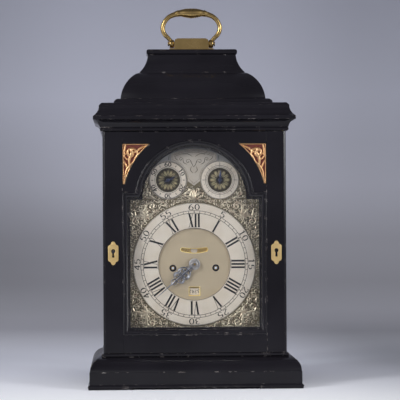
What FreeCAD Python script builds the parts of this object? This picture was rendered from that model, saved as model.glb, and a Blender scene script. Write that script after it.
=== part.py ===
"""Ebonised bracket clock with an inverted bell top, a break-arch dial and a two-train fusee movement.

Frame: millimetres, +Z up, origin under the middle of the base, the dial faces -Y, +X is to the
viewer's right.
"""

import os
from math import acos, asin, atan2, cos, degrees, hypot, pi, radians, sin, sqrt

import FreeCAD
import Part

Vec = FreeCAD.Vector

# ---------------------------------------------------------------- driving dimensions
CASE_HALF = 120.3          # half width over the case sides
CASE_DEPTH = 168.0         # door front to case back
MOULDING_REACH = 20.3      # how far the base stands out from the case
DOOR_THICK = 16.0
BOARD = 12.6               # case side boards
DOOR_BOTTOM = 46.1
DOOR_TOP = 336.2
CASE_TOP = 374.0           # top of the cornice
RUNNING_GAP = 0.3          # between things that move past each other
PIVOT_PLAY = 0.06          # radial play of a pivot in its hole
MITRE_GAP = 0.1            # glue line between mitred mouldings

FRONT = -(CASE_DEPTH + MOULDING_REACH) / 2 + MOULDING_REACH      # door front face
BACK = FRONT + CASE_DEPTH
DOOR_BACK = FRONT + DOOR_THICK
CASE_FRONT = DOOR_BACK + 0.35
SIDE_INNER = CASE_HALF - BOARD

# base
PAD_HEIGHT = 2.5
PAD_SIZE = (58.0, 46.0)
FASCIA_OUT = 18.2          # projection of the flat fascia
FASCIA_TOP = 22.5
OVOLO_TOP = 41.3
OVOLO_OUT = 1.2
ASTRAGAL_OUT = 2.6
BASE_TOP = 45.6
BOTTOM_BOARD_Z = (20.0, 32.0)

# cornice
CORNICE_BOTTOM = 336.7
RABBET = 4.0               # let into the side boards behind the cornice
TOP_BOARD_THICK = 12.0

# inverted bell top
BELL_HALF = 105.5          # quarter-round at its foot
BELL_SETBACK = 24.0        # foot of the bell behind the door front and ahead of the case back
PLATEAU_TOP = 450.7
LIP_HALF = 61.2

# door
STILE_INNER = 94.6
RAIL_TOP = 69.4
ARCH_Z = 246.7             # centre of the arch
ARCH_R = 78.2              # wooden arch, outside the sight moulding
SIGHT = 10.0               # width of the sight moulding
SHOULDER_Z = ARCH_Z + SIGHT
BAND_R = 93.5              # outer edge of the flat arch band
FRET_TOP = 320.6
FRET_BOTTOM = 267.0
FRET_THICK = 2.0
GLASS_THICK = 2.0
PIVOT_INSET = 4.0          # door pivot axis from the two outer faces of the corner
PIVOT_R = 1.6

# dial
DIAL_Z = 161.5
DIAL_HALF = 89.0
DIAL_BOTTOM = 74.5
DIAL_SHOULDER = 250.7
DIAL_ARCH_R = 71.6
DIAL_BACK = -48.5
DIAL_THICK = 2.5
RING_R = 81.0
RING_INNER = 47.4
RING_THICK = 2.0
WINDING_X = 28.4
WINDING_Z = 156.5
WINDING_HOLE_R = 4.6
SUB_X = 34.3
SUB_Z = 272.8
SUB_R = 25.4
SUB_INNER = 16.2
HAND_ANGLE = 229.0         # both hands, clockwise from twelve
BOB_SLOT_HALF = 18.5
BOB_SLOT_Z = (175.7, 183.9)
DATE_Z = 125.6
DATE_SIZE = (15.0, 12.2)

# movement
PLATE_FRONT = -34.0        # front face of the front plate
PLATE_THICK = 2.5
PLATE_GAP = 60.0           # between the plates
PLATE_HALF = 66.0
PLATE_Z = (92.0, 230.0)
PILLAR_R = 4.0
PILLARS = ((-58.0, 99.0), (58.0, 99.0), (0.0, 103.0), (-58.0, 222.0), (58.0, 222.0))
ARBOR_R = 1.5
PIVOT_SMALL = 0.8
VERGE_Z = 216.0
SEAT_Y = (PLATE_FRONT - 6.0, PLATE_FRONT + 2 * PLATE_THICK + PLATE_GAP + 4.0)
SEAT_Z = (79.0, PLATE_Z[0])

# toothed pieces: number of teeth and module
GREAT_TEETH = 40
CENTRE_LEAVES = 8
CENTRE_TEETH = 40
CENTRE_MODULE = 0.99
THIRD_LEAVES = 8
THIRD_TEETH = 32
THIRD_MODULE = 0.828
CONTRATE_LEAVES = 8
CONTRATE_TEETH = 20
CONTRATE_MODULE = 0.9
CROWN_LEAVES = 8
CROWN_TEETH = 13
CROWN_R = 10.0
CANNON_TEETH = 8
MINUTE_TEETH = 24
MOTION_MODULE = 1.125
MINUTE_LEAVES = 8
HOUR_TEETH = 32

PLATE_INNER_F = PLATE_FRONT + PLATE_THICK
PLATE_INNER_B = PLATE_INNER_F + PLATE_GAP
PLATE_BACK = PLATE_INNER_B + PLATE_THICK
DIAL_FRONT = DIAL_BACK - DIAL_THICK
RING_FRONT = DIAL_FRONT - RING_THICK
BELL_Y = (FRONT + BACK) / 2
PLATEAU_HALF_Y = 20.0


# ---------------------------------------------------------------- drawing helpers
def place(plane, u, v):
    """A point of a drawing: u, v read in the plane named by its two axes."""
    return {"xz": Vec(u, 0, v), "yz": Vec(0, u, v), "xy": Vec(u, v, 0)}[plane]


def outline(plane, start, *steps):
    """A closed wire. A step is a point, for a line, or (through, end), for an arc."""
    edges = []
    here = start
    for step in steps + (start,):
        if isinstance(step[0], tuple):
            through, end = step
            edges.append(Part.Arc(place(plane, *here), place(plane, *through), place(plane, *end)).toShape())
        else:
            end = step
            if hypot(end[0] - here[0], end[1] - here[1]) > 1e-6:
                edges.append(Part.LineSegment(place(plane, *here), place(plane, *end)).toShape())
        here = end
    return Part.Wire(edges)


def prism(plane, wire, low, high):
    """A wire extruded across its plane, from low to high."""
    along = {"xz": Vec(0, 1, 0), "yz": Vec(1, 0, 0), "xy": Vec(0, 0, 1)}[plane]
    face = Part.Face(wire)
    face.translate(along * low)
    return face.extrude(along * (high - low))


def box(x0, x1, y0, y1, z0, z1):
    return Part.makeBox(x1 - x0, y1 - y0, z1 - z0, Vec(x0, y0, z0))


def flats(r):
    """Round pieces are drawn with flats, fewer on small ones, to keep their surfaces light."""
    for limit, count in ((1.0, 6), (4.0, 8), (8.0, 10), (20.0, 16), (45.0, 24)):
        if r < limit:
            return count
    return 48


def ring_points(r, count, hole):
    """Corners of a regular outline: inside the circle for a shaft, outside it for a hole."""
    radius = r / cos(pi / count) if hole else r
    return [(radius * cos(2 * pi * k / count), radius * sin(2 * pi * k / count)) for k in range(count)]


def rod_y(r, x, z, y0, y1, hole=False):
    points = [(x + u, z + v) for u, v in ring_points(r, flats(r), hole)]
    return prism("xz", outline("xz", *points), y0, y1)


def bore_y(r, x, z, y0, y1):
    return rod_y(r, x, z, y0, y1, hole=True)


def pivot_y(r, x, z, y0, y1):
    """A running pivot, truly round: one on each arbor, and the rest of it has flats."""
    return Part.makeCylinder(r, y1 - y0, Vec(x, y0, z), Vec(0, 1, 0))


def rod_z(r, x, y, z0, z1, hole=False):
    points = [(x + u, y + v) for u, v in ring_points(r, flats(r), hole)]
    return prism("xy", outline("xy", *points), z0, z1)


def rod_x(r, y, z, x0, x1, hole=False):
    points = [(y + u, z + v) for u, v in ring_points(r, flats(r), hole)]
    return prism("yz", outline("yz", *points), x0, x1)


def turned(points, count, at):
    """A turned solid from a closed run of (radius, distance along the axis). `at` places a corner
    of one section, given its two offsets and the distance."""
    rings = []
    for r, along in points:
        corners = ring_points(r, count, False) if r > 0 else [(0.0, 0.0)]
        rings.append([at(u, v, along) for u, v in corners])
    faces = []
    for low, high in zip(rings, rings[1:] + rings[:1]):
        if len(low) == len(high) == 1:
            continue
        for k in range(count):
            a, b = low[k % len(low)], low[(k + 1) % len(low)]
            c, d = high[(k + 1) % len(high)], high[k % len(high)]
            corners = [a, b, c, d] if len(low) == len(high) else ([a, b, c] if len(high) == 1 else [a, c, d])
            faces.append(Part.Face(Part.makePolygon(corners + corners[:1])))
    solid = Part.Solid(Part.Shell(faces))
    if solid.Volume < 0:
        solid.reverse()
    return solid


def turned_y(x, z, points, count=None):
    """A solid turned about an axis along Y: points are (radius, y)."""
    count = count or flats(max(r for r, y in points))
    return turned(points, count, lambda u, v, y: Vec(x + u, y, z + v))


def turned_z(x, y, points, count=None):
    """A solid turned about an upright axis: points are (radius, z)."""
    count = count or flats(max(r for r, z in points))
    return turned(points, count, lambda u, v, z: Vec(x + u, y + v, z))


def fuse(first, *rest):
    solid = first.multiFuse(list(rest)).removeSplitter()
    return solid.Solids[0] if len(solid.Solids) == 1 else solid


def mirrored(shape):
    return shape.mirror(Vec(0, 0, 0), Vec(1, 0, 0))


def group(*shapes):
    solids = [solid for shape in shapes for solid in shape.Solids]
    return Part.makeCompound(solids)


def turn_y(shape, x, z, clockwise):
    """Turn a shape clockwise as seen from the front."""
    turned = shape.copy()
    turned.rotate(Vec(x, 0, z), Vec(0, 1, 0), clockwise)
    return turned


def arch_points(r, centre, spring, step=7.5):
    """Corners of a round arch drawn with flats, from its left spring over the top to its right one."""
    half = sqrt(r * r - (spring - centre[1]) ** 2)
    count = round(150 / step)
    points = [(centre[0] - half, spring)]
    for k in range(count + 1):
        angle = radians(165 - step * k)
        points.append((centre[0] + r * cos(angle), centre[1] + r * sin(angle)))
    return points + [(centre[0] + half, spring)]


NODES = {}


def node(name, shape):
    NODES[name] = shape


# ---------------------------------------------------------------- mouldings
def mitred(side_profile, front_profile, y_inner, x_inner):
    """Front and two side lengths of a moulding. Both profiles give its reach at each height; the
    front length runs between mitres and the sides run to the flat back."""
    whole = prism("xz", side_profile, FRONT - 60, BACK)
    whole = whole.common(prism("yz", front_profile, -CASE_HALF - 60, CASE_HALF + 60))
    corner_x = CASE_HALF + 60
    corner_y = FRONT - 60
    meet_y = corner_y + corner_x
    gap = MITRE_GAP / 2
    low, high = whole.BoundBox.ZMin - 1, whole.BoundBox.ZMax + 1
    wedge = outline("xy", (-corner_x + gap, corner_y - gap), (0, meet_y - gap), (corner_x - gap, corner_y - gap))
    front = whole.common(prism("xy", wedge, low, high))
    front = front.cut(box(-CASE_HALF - 60, CASE_HALF + 60, y_inner, BACK + 1, low, high))
    lengths = [front]
    mitre_x = corner_y + corner_x - y_inner
    side_cut = outline("xy", (corner_x + gap, corner_y + gap), (corner_x + gap, BACK), (x_inner, BACK),
                       (x_inner, y_inner), (mitre_x + gap, y_inner))
    side = whole.common(prism("xy", side_cut, low, high))
    lengths.append(side)
    lengths.append(mirrored(side))
    return lengths


def base_steps():
    """Reach of the base at each height, from the flare up to the astragal."""
    out = FASCIA_OUT
    drop = FASCIA_TOP - 0.6
    mid_out = OVOLO_OUT + (out - OVOLO_OUT) * 0.74
    mid_z = drop + (OVOLO_TOP - drop) * 0.66
    return [
        (MOULDING_REACH, PAD_HEIGHT), (MOULDING_REACH, PAD_HEIGHT + 1.6),
        (FASCIA_OUT, PAD_HEIGHT + 4.2), (FASCIA_OUT, FASCIA_TOP), (FASCIA_OUT - 0.7, FASCIA_TOP),
        ((mid_out, mid_z), (OVOLO_OUT, OVOLO_TOP)),
        (ASTRAGAL_OUT - 0.8, OVOLO_TOP), (ASTRAGAL_OUT, OVOLO_TOP + 1.2), (ASTRAGAL_OUT, BASE_TOP - 1.2),
        (ASTRAGAL_OUT - 0.8, BASE_TOP),
    ]


def cornice_steps():
    """Reach of the cornice: bead, lower cavetto, fillet, upper cavetto and top bead."""
    low = CORNICE_BOTTOM
    return [
        (1.7, low), (3.3, low + 1.4), (3.3, low + 3.6), (2.2, low + 5.0),
        (3.4, low + 5.3), ((5.9, low + 11.4), (11.9, low + 15.0)),
        (12.2, low + 15.2), (12.2, low + 19.6),
        ((7.2, low + 24.4), (4.6, low + 30.2)),
        (4.4, low + 34.0), (1.0, CASE_TOP),
    ]


def reach_profile(plane, steps, foot, back_limit):
    """Close a list of reaches into a drawing: both sides in xz, front only in yz."""
    sign = -1
    base = CASE_HALF if plane == "xz" else -FRONT

    def at(point, side):
        if isinstance(point[0], tuple):
            return tuple(at(p, side) for p in point)
        return (side * (base + point[0]), point[1])

    left = [at(step, sign) for step in steps]
    if plane == "yz":
        top = steps[-1][1]
        return outline("yz", left[0], *left[1:], (back_limit, top), (back_limit, foot))
    right = []
    ends = [step[1] if isinstance(step[0], tuple) else step for step in steps]
    for index in range(len(steps) - 1, 0, -1):
        before = ends[index - 1]
        if isinstance(steps[index][0], tuple):
            right.append((at(steps[index][0], 1), at(before, 1)))
        else:
            right.append(at(before, 1))
    return outline("xz", left[0], *left[1:], at(ends[-1], 1), *right)


def make_base():
    steps = base_steps()
    sides = reach_profile("xz", steps, PAD_HEIGHT, BACK)
    front = reach_profile("yz", steps, PAD_HEIGHT, BACK)
    lengths = mitred(sides, front, CASE_FRONT, SIDE_INNER)
    lengths[1] = lengths[1].cut(rod_z(SOCKET_R, FRONT_PIVOT_X, FRONT_PIVOT_Y, BASE_TOP - SOCKET_DEEP, BASE_TOP + 1))
    node("base_mouldings", group(*lengths))
    pads = []
    pad_x, pad_y = PAD_SIZE
    out = MOULDING_REACH
    inset = 0.6
    for side in (-1, 1):
        for y0, y1 in ((FRONT - out, FRONT - out + pad_y), (BACK - pad_y, BACK)):
            x_out = side * (CASE_HALF + out - inset)
            x_in = side * (CASE_HALF + out - pad_x)
            pads.append(box(min(x_out, x_in), max(x_out, x_in), y0 + (inset if y0 < 0 else 0), y1, 0, PAD_HEIGHT))
    node("foot_pads", group(*pads))
    node("bottom_board", box(-SIDE_INNER, SIDE_INNER, CASE_FRONT, BACK - BOARD, *BOTTOM_BOARD_Z))


def make_cornice():
    steps = cornice_steps()
    sides = reach_profile("xz", steps, CORNICE_BOTTOM, BACK)
    front = reach_profile("yz", steps, CORNICE_BOTTOM, BACK)
    lengths = mitred(sides, front, CASE_FRONT, CASE_HALF - RABBET)
    lengths[1] = lengths[1].cut(rod_z(SOCKET_R, FRONT_PIVOT_X, FRONT_PIVOT_Y, CORNICE_BOTTOM - 1,
                                      CORNICE_BOTTOM + SOCKET_DEEP))
    node("cornice_mouldings", group(*lengths))


# ---------------------------------------------------------------- carcass
WINDOW_Y = (-26.0, 62.0)
WINDOW_Z = (104.0, 232.0)
WINDOW_LIP = 5.0           # how far the pane runs past the sight edge
WINDOW_PANE = 2.2


def window_wire(grow):
    """Round-headed side window, drawn in yz, grown outwards by `grow`."""
    mid = sum(WINDOW_Y) / 2
    half = (WINDOW_Y[1] - WINDOW_Y[0]) / 2 + grow
    low = WINDOW_Z[0] - grow
    spring = WINDOW_Z[1]
    return outline("yz", (mid - half, low), *arch_points(half, (mid, spring), spring, 15), (mid + half, low))


def make_carcass():
    side = box(SIDE_INNER, CASE_HALF, CASE_FRONT, BACK, BASE_TOP, CORNICE_BOTTOM)
    head = box(SIDE_INNER, CASE_HALF - RABBET, CASE_FRONT, BACK, CORNICE_BOTTOM, CASE_TOP)
    side = fuse(side, head)
    side = side.cut(prism("yz", window_wire(0), SIDE_INNER - 1, CASE_HALF + 1))
    slot = box(SIDE_INNER - 1, SIDE_INNER + REAR_BOLT_THROW + 1, REAR_BOLT_Y[0] - 0.4, REAR_BOLT_Y[1] + 0.4,
               REAR_LOCK_Z - REAR_BOLT_HALF - 0.4, REAR_LOCK_Z + REAR_BOLT_HALF + 0.4)
    node("case_side_right", side)
    node("case_side_left", mirrored(side).cut(mirrored(slot)))
    pane = prism("yz", window_wire(WINDOW_LIP), SIDE_INNER - WINDOW_PANE, SIDE_INNER)
    node("side_windows", group(pane, mirrored(pane)))

    base_rail = box(-SIDE_INNER, SIDE_INNER, BACK - BOARD, BACK, PAD_HEIGHT, BASE_TOP)
    top_rail = box(-SIDE_INNER, SIDE_INNER, BACK - BOARD, BACK, REAR_DOOR_TOP + 0.5, CASE_TOP - TOP_BOARD_THICK)
    front_rail = box(-SIDE_INNER, SIDE_INNER, CASE_FRONT, CASE_FRONT + BOARD, CORNICE_BOTTOM - 16,
                     CASE_TOP - TOP_BOARD_THICK)
    for z in (BASE_TOP, REAR_DOOR_TOP + 0.5):
        socket = rod_z(SOCKET_R, REAR_PIVOT_X, REAR_PIVOT_Y, z - SOCKET_DEEP, z + SOCKET_DEEP)
        base_rail = base_rail.cut(socket)
        top_rail = top_rail.cut(socket)
    node("carcass_rails", group(base_rail, top_rail, front_rail))
    node("top_board", box(-SIDE_INNER, SIDE_INNER, CASE_FRONT, BACK, CASE_TOP - TOP_BOARD_THICK, CASE_TOP))

    node("seat_board", box(-SIDE_INNER, SIDE_INNER, *SEAT_Y, *SEAT_Z))


def moved(shape, axis, distance):
    copy = shape.copy()
    copy.translate({"x": Vec(distance, 0, 0), "y": Vec(0, distance, 0), "z": Vec(0, 0, distance)}[axis])
    return copy


# ---------------------------------------------------------------- inverted bell top
def bell_steps():
    """Half width at each height: quarter-round foot, convex shoulder, concave neck and lip."""
    return [
        (BELL_HALF, CASE_TOP), (BELL_HALF, CASE_TOP + 1.8),
        ((BELL_HALF - 2.2, CASE_TOP + 5.6), (BELL_HALF - 7.6, CASE_TOP + 7.4)),
        (BELL_HALF - 9.0, CASE_TOP + 7.4),
        ((91.6, 398.6), (78.6, 414.4)),
        (75.6, 416.4), (72.2, 417.8), (70.6, 417.9), (70.6, 419.2),
        ((62.9, 429.9), (59.5, 443.4)),
        (LIP_HALF - 0.6, 444.3), (LIP_HALF, 445.4), (LIP_HALF, 448.6), (LIP_HALF - 0.8, 449.9),
        (LIP_HALF - 1.9, PLATEAU_TOP),
    ]


def bell_profile(plane, centre, shrink):
    """The bell seen from one side. `shrink` narrows it for the depth view."""
    def at(point, side):
        if isinstance(point[0], tuple):
            return tuple(at(p, side) for p in point)
        return (centre + side * (point[0] - shrink), point[1])

    steps = bell_steps()
    ends = [step[1] if isinstance(step[0], tuple) else step for step in steps]
    right = []
    for index in range(len(steps) - 1, 0, -1):
        if isinstance(steps[index][0], tuple):
            right.append((at(steps[index][0], 1), at(ends[index - 1], 1)))
        else:
            right.append(at(ends[index - 1], 1))
    left = [at(step, -1) for step in steps]
    return outline(plane, left[0], *left[1:], at(ends[-1], 1), *right)


def make_bell_top():
    depth_half = CASE_DEPTH / 2 - BELL_SETBACK
    across = prism("xz", bell_profile("xz", 0, 0), BELL_Y - 100, BELL_Y + 100)
    along = prism("yz", bell_profile("yz", BELL_Y, BELL_HALF - depth_half), -130, 130)
    node("bell_top", across.common(along))


# ---------------------------------------------------------------- handle
HANDLE_Y = BELL_Y
HANDLE_PIVOT_Z = 459.4
BLOCK_HALF = 23.4
BLOCK_TOP = 466.3
BLOCK_HALF_Y = 7.0
EYE_R = 5.6
EYE_WIDTH = 6.0
BAIL_R = 3.0
GRIP_R = 6.8
HANDLE_PIN_R = 2.0


def bent_bar(points, y, count):
    """A round bar of changing radius along a curve through (x, z, radius) in the plane at y."""
    curve = Part.BSplineCurve()
    curve.interpolate([Vec(x, y, z) for x, z, r in points])
    radii = [r for x, z, r in points]
    places = [curve.parameter(Vec(x, y, z)) for x, z, r in points]
    sections = []
    for at, r in zip(places, radii):
        centre, along = curve.value(at), curve.tangent(at)[0]
        outward = along.cross(Vec(0, 1, 0))
        sections.append([centre + outward * u + Vec(0, v, 0) for u, v in ring_points(r, count, False)])
    faces = []
    for low, high in zip(sections, sections[1:]):
        for k in range(count):
            a, b, c, d = low[k], low[(k + 1) % count], high[(k + 1) % count], high[k]
            faces.append(Part.Face(Part.makePolygon([a, b, c, a])))
            faces.append(Part.Face(Part.makePolygon([a, c, d, a])))
    for end in (sections[0], sections[-1]):
        faces.append(Part.Face(Part.makePolygon(end + end[:1])))
    solid = Part.Solid(Part.Shell(faces))
    if solid.Volume < 0:
        solid.reverse()
    return solid


def make_handle():
    foot = box(-BLOCK_HALF - 6.5, BLOCK_HALF + 6.5, HANDLE_Y - 9, HANDLE_Y + 9, PLATEAU_TOP, PLATEAU_TOP + 2)
    corner = 4.5
    block = outline("xz", (-BLOCK_HALF, PLATEAU_TOP + 2), (-BLOCK_HALF, BLOCK_TOP - corner),
                    (-BLOCK_HALF + 0.3 * corner, BLOCK_TOP - 0.3 * corner), (-BLOCK_HALF + corner, BLOCK_TOP),
                    (BLOCK_HALF - corner, BLOCK_TOP),
                    (BLOCK_HALF - 0.3 * corner, BLOCK_TOP - 0.3 * corner), (BLOCK_HALF, BLOCK_TOP - corner),
                    (BLOCK_HALF, PLATEAU_TOP + 2))
    block = prism("xz", block, HANDLE_Y - BLOCK_HALF_Y, HANDLE_Y + BLOCK_HALF_Y)
    pin_half = BLOCK_HALF + EYE_WIDTH + 1.2
    pin = rod_x(HANDLE_PIN_R, HANDLE_Y, HANDLE_PIVOT_Z, -pin_half, pin_half)
    heads = [Part.makeCylinder(3.2, 1.4, Vec(x, HANDLE_Y, HANDLE_PIVOT_Z), Vec(1, 0, 0))
             for x in (-pin_half - 1.4, pin_half)]
    node("handle_block", fuse(foot, block, pin, *heads))

    eye_x = BLOCK_HALF + RUNNING_GAP
    eye = rod_x(EYE_R, HANDLE_Y, HANDLE_PIVOT_Z, eye_x, eye_x + EYE_WIDTH)
    # centre line of the bail: (x, z, radius), left half from the grip down to the eye
    line = [(0, 500.8, GRIP_R), (8, 501.2, 6.0), (17, 500.8, 4.1), (27.5, 497.4, 3.3), (32.6, 493.8, 3.1),
            (36.4, 489.0, BAIL_R), (38.7, 482.4, BAIL_R), (38.2, 476.6, BAIL_R), (35.6, 471.6, BAIL_R),
            (31.4, 467.4, 2.8), (eye_x + 3.0, 462.0, 2.6)]
    points = [(-x, z, r) for x, z, r in reversed(line)] + line[1:]
    bail = fuse(bent_bar(points, HANDLE_Y, 10), eye, mirrored(eye))
    bail = bail.cut(rod_x(HANDLE_PIN_R + PIVOT_PLAY, HANDLE_Y, HANDLE_PIVOT_Z, -60, 60, hole=True))
    node("handle_bail", bail)


# ---------------------------------------------------------------- front door
GLASS_FRONT = FRONT + 7.6
FRONT_PIVOT_X = CASE_HALF - PIVOT_INSET
FRONT_PIVOT_Y = DOOR_BACK - PIVOT_INSET
LOCK_X = CASE_HALF - 13.3  # the locks and keyholes keep their distance from the door's edge
LOCK_Z = 177.0
LOCK_HALF = (9.0, 17.0)
LOCK_Y = (DOOR_BACK - 8.6, DOOR_BACK - 0.4)
BOLT_HALF = 3.5
STAPLE_HALF_Z = 5.0


def door_wire(inset):
    """Door opening drawn in xz: straight sides, shoulders and a round arch, inset from the wood."""
    half = STILE_INNER - inset
    low = RAIL_TOP + inset
    shoulder = SHOULDER_Z - inset
    r = ARCH_R - inset
    return outline("xz", (-half, low), (-half, shoulder), *arch_points(r, (0, ARCH_Z), shoulder), (half, shoulder),
                   (half, low))


def flare(sections):
    """A ruled solid through door openings: sections are (inset, y)."""
    wires = [moved(door_wire(inset), "y", y) for inset, y in sections]
    solids = [Part.makeLoft([first, second], True, True) for first, second in zip(wires, wires[1:])]
    return solids[0].multiFuse(solids[1:])


def make_door_wood():
    round_r = PIVOT_INSET
    edge = 3.0
    stile = outline("xy", (STILE_INNER, FRONT), (CASE_HALF - edge, FRONT),
                    (CASE_HALF - edge * 0.3, FRONT + edge * 0.3), (CASE_HALF, FRONT + edge),
                    (CASE_HALF, DOOR_BACK - round_r),
                    ((CASE_HALF - round_r * (1 - sqrt(0.5)), DOOR_BACK - round_r * (1 - sqrt(0.5))),
                     (CASE_HALF - round_r, DOOR_BACK)), (STILE_INNER, DOOR_BACK))
    right = prism("xy", stile, DOOR_BOTTOM, DOOR_TOP)
    left = mirrored(right)
    for z in (DOOR_BOTTOM, DOOR_TOP):
        inward = 1 if z == DOOR_BOTTOM else -1
        right = right.cut(hinge_leaf(FRONT_PIVOT_X, FRONT_PIVOT_Y, z, inward, -1))
    pocket = box(-LOCK_X - LOCK_HALF[0], -LOCK_X + LOCK_HALF[0], LOCK_Y[0], DOOR_BACK + 1,
                 LOCK_Z - LOCK_HALF[1], LOCK_Z + LOCK_HALF[1])
    left = left.cut(pocket).cut(keyhole(-LOCK_X, FRONT - 1, LOCK_Y[0] + 1))
    node("door_stiles", group(left, right))
    node("door_bottom_rail", box(-STILE_INNER, STILE_INNER, FRONT, DOOR_BACK, DOOR_BOTTOM, RAIL_TOP))

    head = box(-STILE_INNER, STILE_INNER, FRONT, DOOR_BACK, SHOULDER_Z, DOOR_TOP)
    head = head.cut(prism("xz", door_wire(0), FRONT - 1, DOOR_BACK + 1))
    notch = prism("xz", fret_wire(0), FRONT - 1, DOOR_BACK + 1)
    node("door_head", head.cut(notch).cut(mirrored(notch)))


def fret_wire(inset):
    """Curved triangle outside the arch band at the right, shrunk by `inset`."""
    r = BAND_R + inset
    top = FRET_TOP - inset
    low = FRET_BOTTOM + inset
    right = STILE_INNER - inset if inset else STILE_INNER + 1
    reach = right - 0.8
    if r > reach:
        low = max(low, ARCH_Z + sqrt(r * r - reach * reach))
    top_x = sqrt(r * r - (top - ARCH_Z) ** 2)
    low_x = sqrt(r * r - (low - ARCH_Z) ** 2)
    start, end = atan2(low - ARCH_Z, low_x), atan2(top - ARCH_Z, top_x)
    curve = [start + (end - start) * k / 6 for k in range(1, 6)]
    return outline("xz", (top_x, top), (right, top), (right, low), (low_x, low),
                   *[(r * cos(angle), ARCH_Z + r * sin(angle)) for angle in curve])


def ribbon(plane, centre, radius, width, start, end):
    """A scroll: a curved band, wide in its middle and thin at its two ends, angles in degrees."""
    cx, cz = centre
    count = max(3, round((end - start) / 60))
    inner, outer = [], []
    for k in range(count + 1):
        angle = radians(start + (end - start) * k / count)
        half = width / 2 * (0.3 + 0.7 * sin(pi * k / count))
        inner.append((cx + (radius - half) * cos(angle), cz + (radius - half) * sin(angle)))
        outer.append((cx + (radius + half) * cos(angle), cz + (radius + half) * sin(angle)))
    return outline(plane, *(inner + outer[::-1]))


def make_frets():
    y0 = FRONT + 0.6
    y1 = y0 + FRET_THICK
    rim = prism("xz", fret_wire(0.15), y0, y1).cut(prism("xz", fret_wire(1.9), y0 - 1, y1 + 1))
    scrolls = [((84.5, 308.5), 6.6, 2.4, -30, 230), ((86.0, 293.0), 6.2, 2.4, 60, 300)]
    bands = [prism("xz", ribbon("xz", *scroll), y0, y1) for scroll in scrolls]
    stem = outline("xz", (92.6, 318.4), (82.4, 300.2), (89.6, 284.0), (92.9, 271.0), (91.6, 286.0), (85.2, 300.6))
    bands.append(prism("xz", stem, y0, y1))
    inside = prism("xz", fret_wire(0.2), y0, y1)
    fret = fuse(rim, *[band.common(inside) for band in bands])
    node("corner_frets", group(fret, mirrored(fret)))
    silk = prism("xz", fret_wire(0.2), y1 + 0.1, y1 + 0.9)
    node("fret_silks", group(silk, mirrored(silk)))


def make_sight_moulding():
    y_seat = GLASS_FRONT - 0.1
    whole = prism("xz", door_wire(0), FRONT, DOOR_BACK)
    hollow = flare([(SIGHT - 0.2, DOOR_BACK + 1), (SIGHT - 0.2, GLASS_FRONT - 1.2), (7.6, GLASS_FRONT - 1.6),
                    (4.6, FRONT + 2.8), (2.6, FRONT + 0.5), (2.0, FRONT - 0.5)])
    rebate = prism("xz", door_wire(SIGHT / 2), y_seat, DOOR_BACK + 1)
    node("door_sight_moulding", whole.cut(hollow).cut(rebate))
    node("door_glass", prism("xz", door_wire(SIGHT / 2 + 0.2), GLASS_FRONT, GLASS_FRONT + GLASS_THICK))


def keyhole(x, y0, y1):
    """Round eye over a straight slot."""
    eye = bore_y(1.7, x, LOCK_Z + 2.2, y0, y1)
    slot = box(x - 0.8, x + 0.8, y0, y1, LOCK_Z - 3.8, LOCK_Z + 2.2)
    return fuse(eye, slot)


def make_escutcheons():
    half, tall, clip = 6.9, 15.6, 3.6
    wire = outline("xz", (LOCK_X - half + clip, LOCK_Z - tall), (LOCK_X + half - clip, LOCK_Z - tall),
                   (LOCK_X + half, LOCK_Z - tall + clip * 1.6), (LOCK_X + half, LOCK_Z + tall - clip * 1.6),
                   (LOCK_X + half - clip, LOCK_Z + tall), (LOCK_X - half + clip, LOCK_Z + tall),
                   (LOCK_X - half, LOCK_Z + tall - clip * 1.6), (LOCK_X - half, LOCK_Z - tall + clip * 1.6))
    plate = prism("xz", wire, FRONT - 1.4, FRONT)
    plate = plate.cut(keyhole(LOCK_X, FRONT - 2, FRONT + 1))
    pins = [rod_y(1.1, LOCK_X, LOCK_Z + z, FRONT - 1.9, FRONT) for z in (-12.4, 12.4)]
    plate = fuse(plate, *pins)
    node("escutcheons", group(plate, mirrored(plate)))


def make_front_lock():
    x0, x1 = -LOCK_X - LOCK_HALF[0], -LOCK_X + LOCK_HALF[0]
    z0, z1 = LOCK_Z - LOCK_HALF[1], LOCK_Z + LOCK_HALF[1]
    case = box(x0, x1, LOCK_Y[0], LOCK_Y[1], z0, z1)
    way = box(-LOCK_X - BOLT_HALF - 0.2, -LOCK_X + BOLT_HALF + 0.2, LOCK_Y[0] + 3.3, LOCK_Y[0] + 6.7,
              LOCK_Z - 1, LOCK_Z + 15)
    mouth = box(-LOCK_X - 3.6, -LOCK_X + 3.6, LOCK_Y[0] + 1.4, LOCK_Y[1] + 1, LOCK_Z + 4.6, LOCK_Z + 12.4)
    node("front_lock", case.cut(way).cut(mouth).cut(keyhole(-LOCK_X, LOCK_Y[0] - 1, LOCK_Y[0] + 3.3)))
    node("front_lock_bolt", box(-LOCK_X - BOLT_HALF, -LOCK_X + BOLT_HALF, LOCK_Y[0] + 3.5, LOCK_Y[0] + 6.5,
                                LOCK_Z - 0.8, LOCK_Z + 4.0))


def hinge_leaf(x, y, z, inward, side):
    """A brass plate let into the end of a door, round the pivot and running away from the corner."""
    thick = 2.0
    length = 19.0
    width = 3.2
    z0, z1 = sorted((z, z + inward * thick))
    leaf = box(min(x, x + side * length), max(x, x + side * length), y - width, y + width, z0, z1)
    return fuse(leaf, rod_z(width, x, y, z0, z1))


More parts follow.
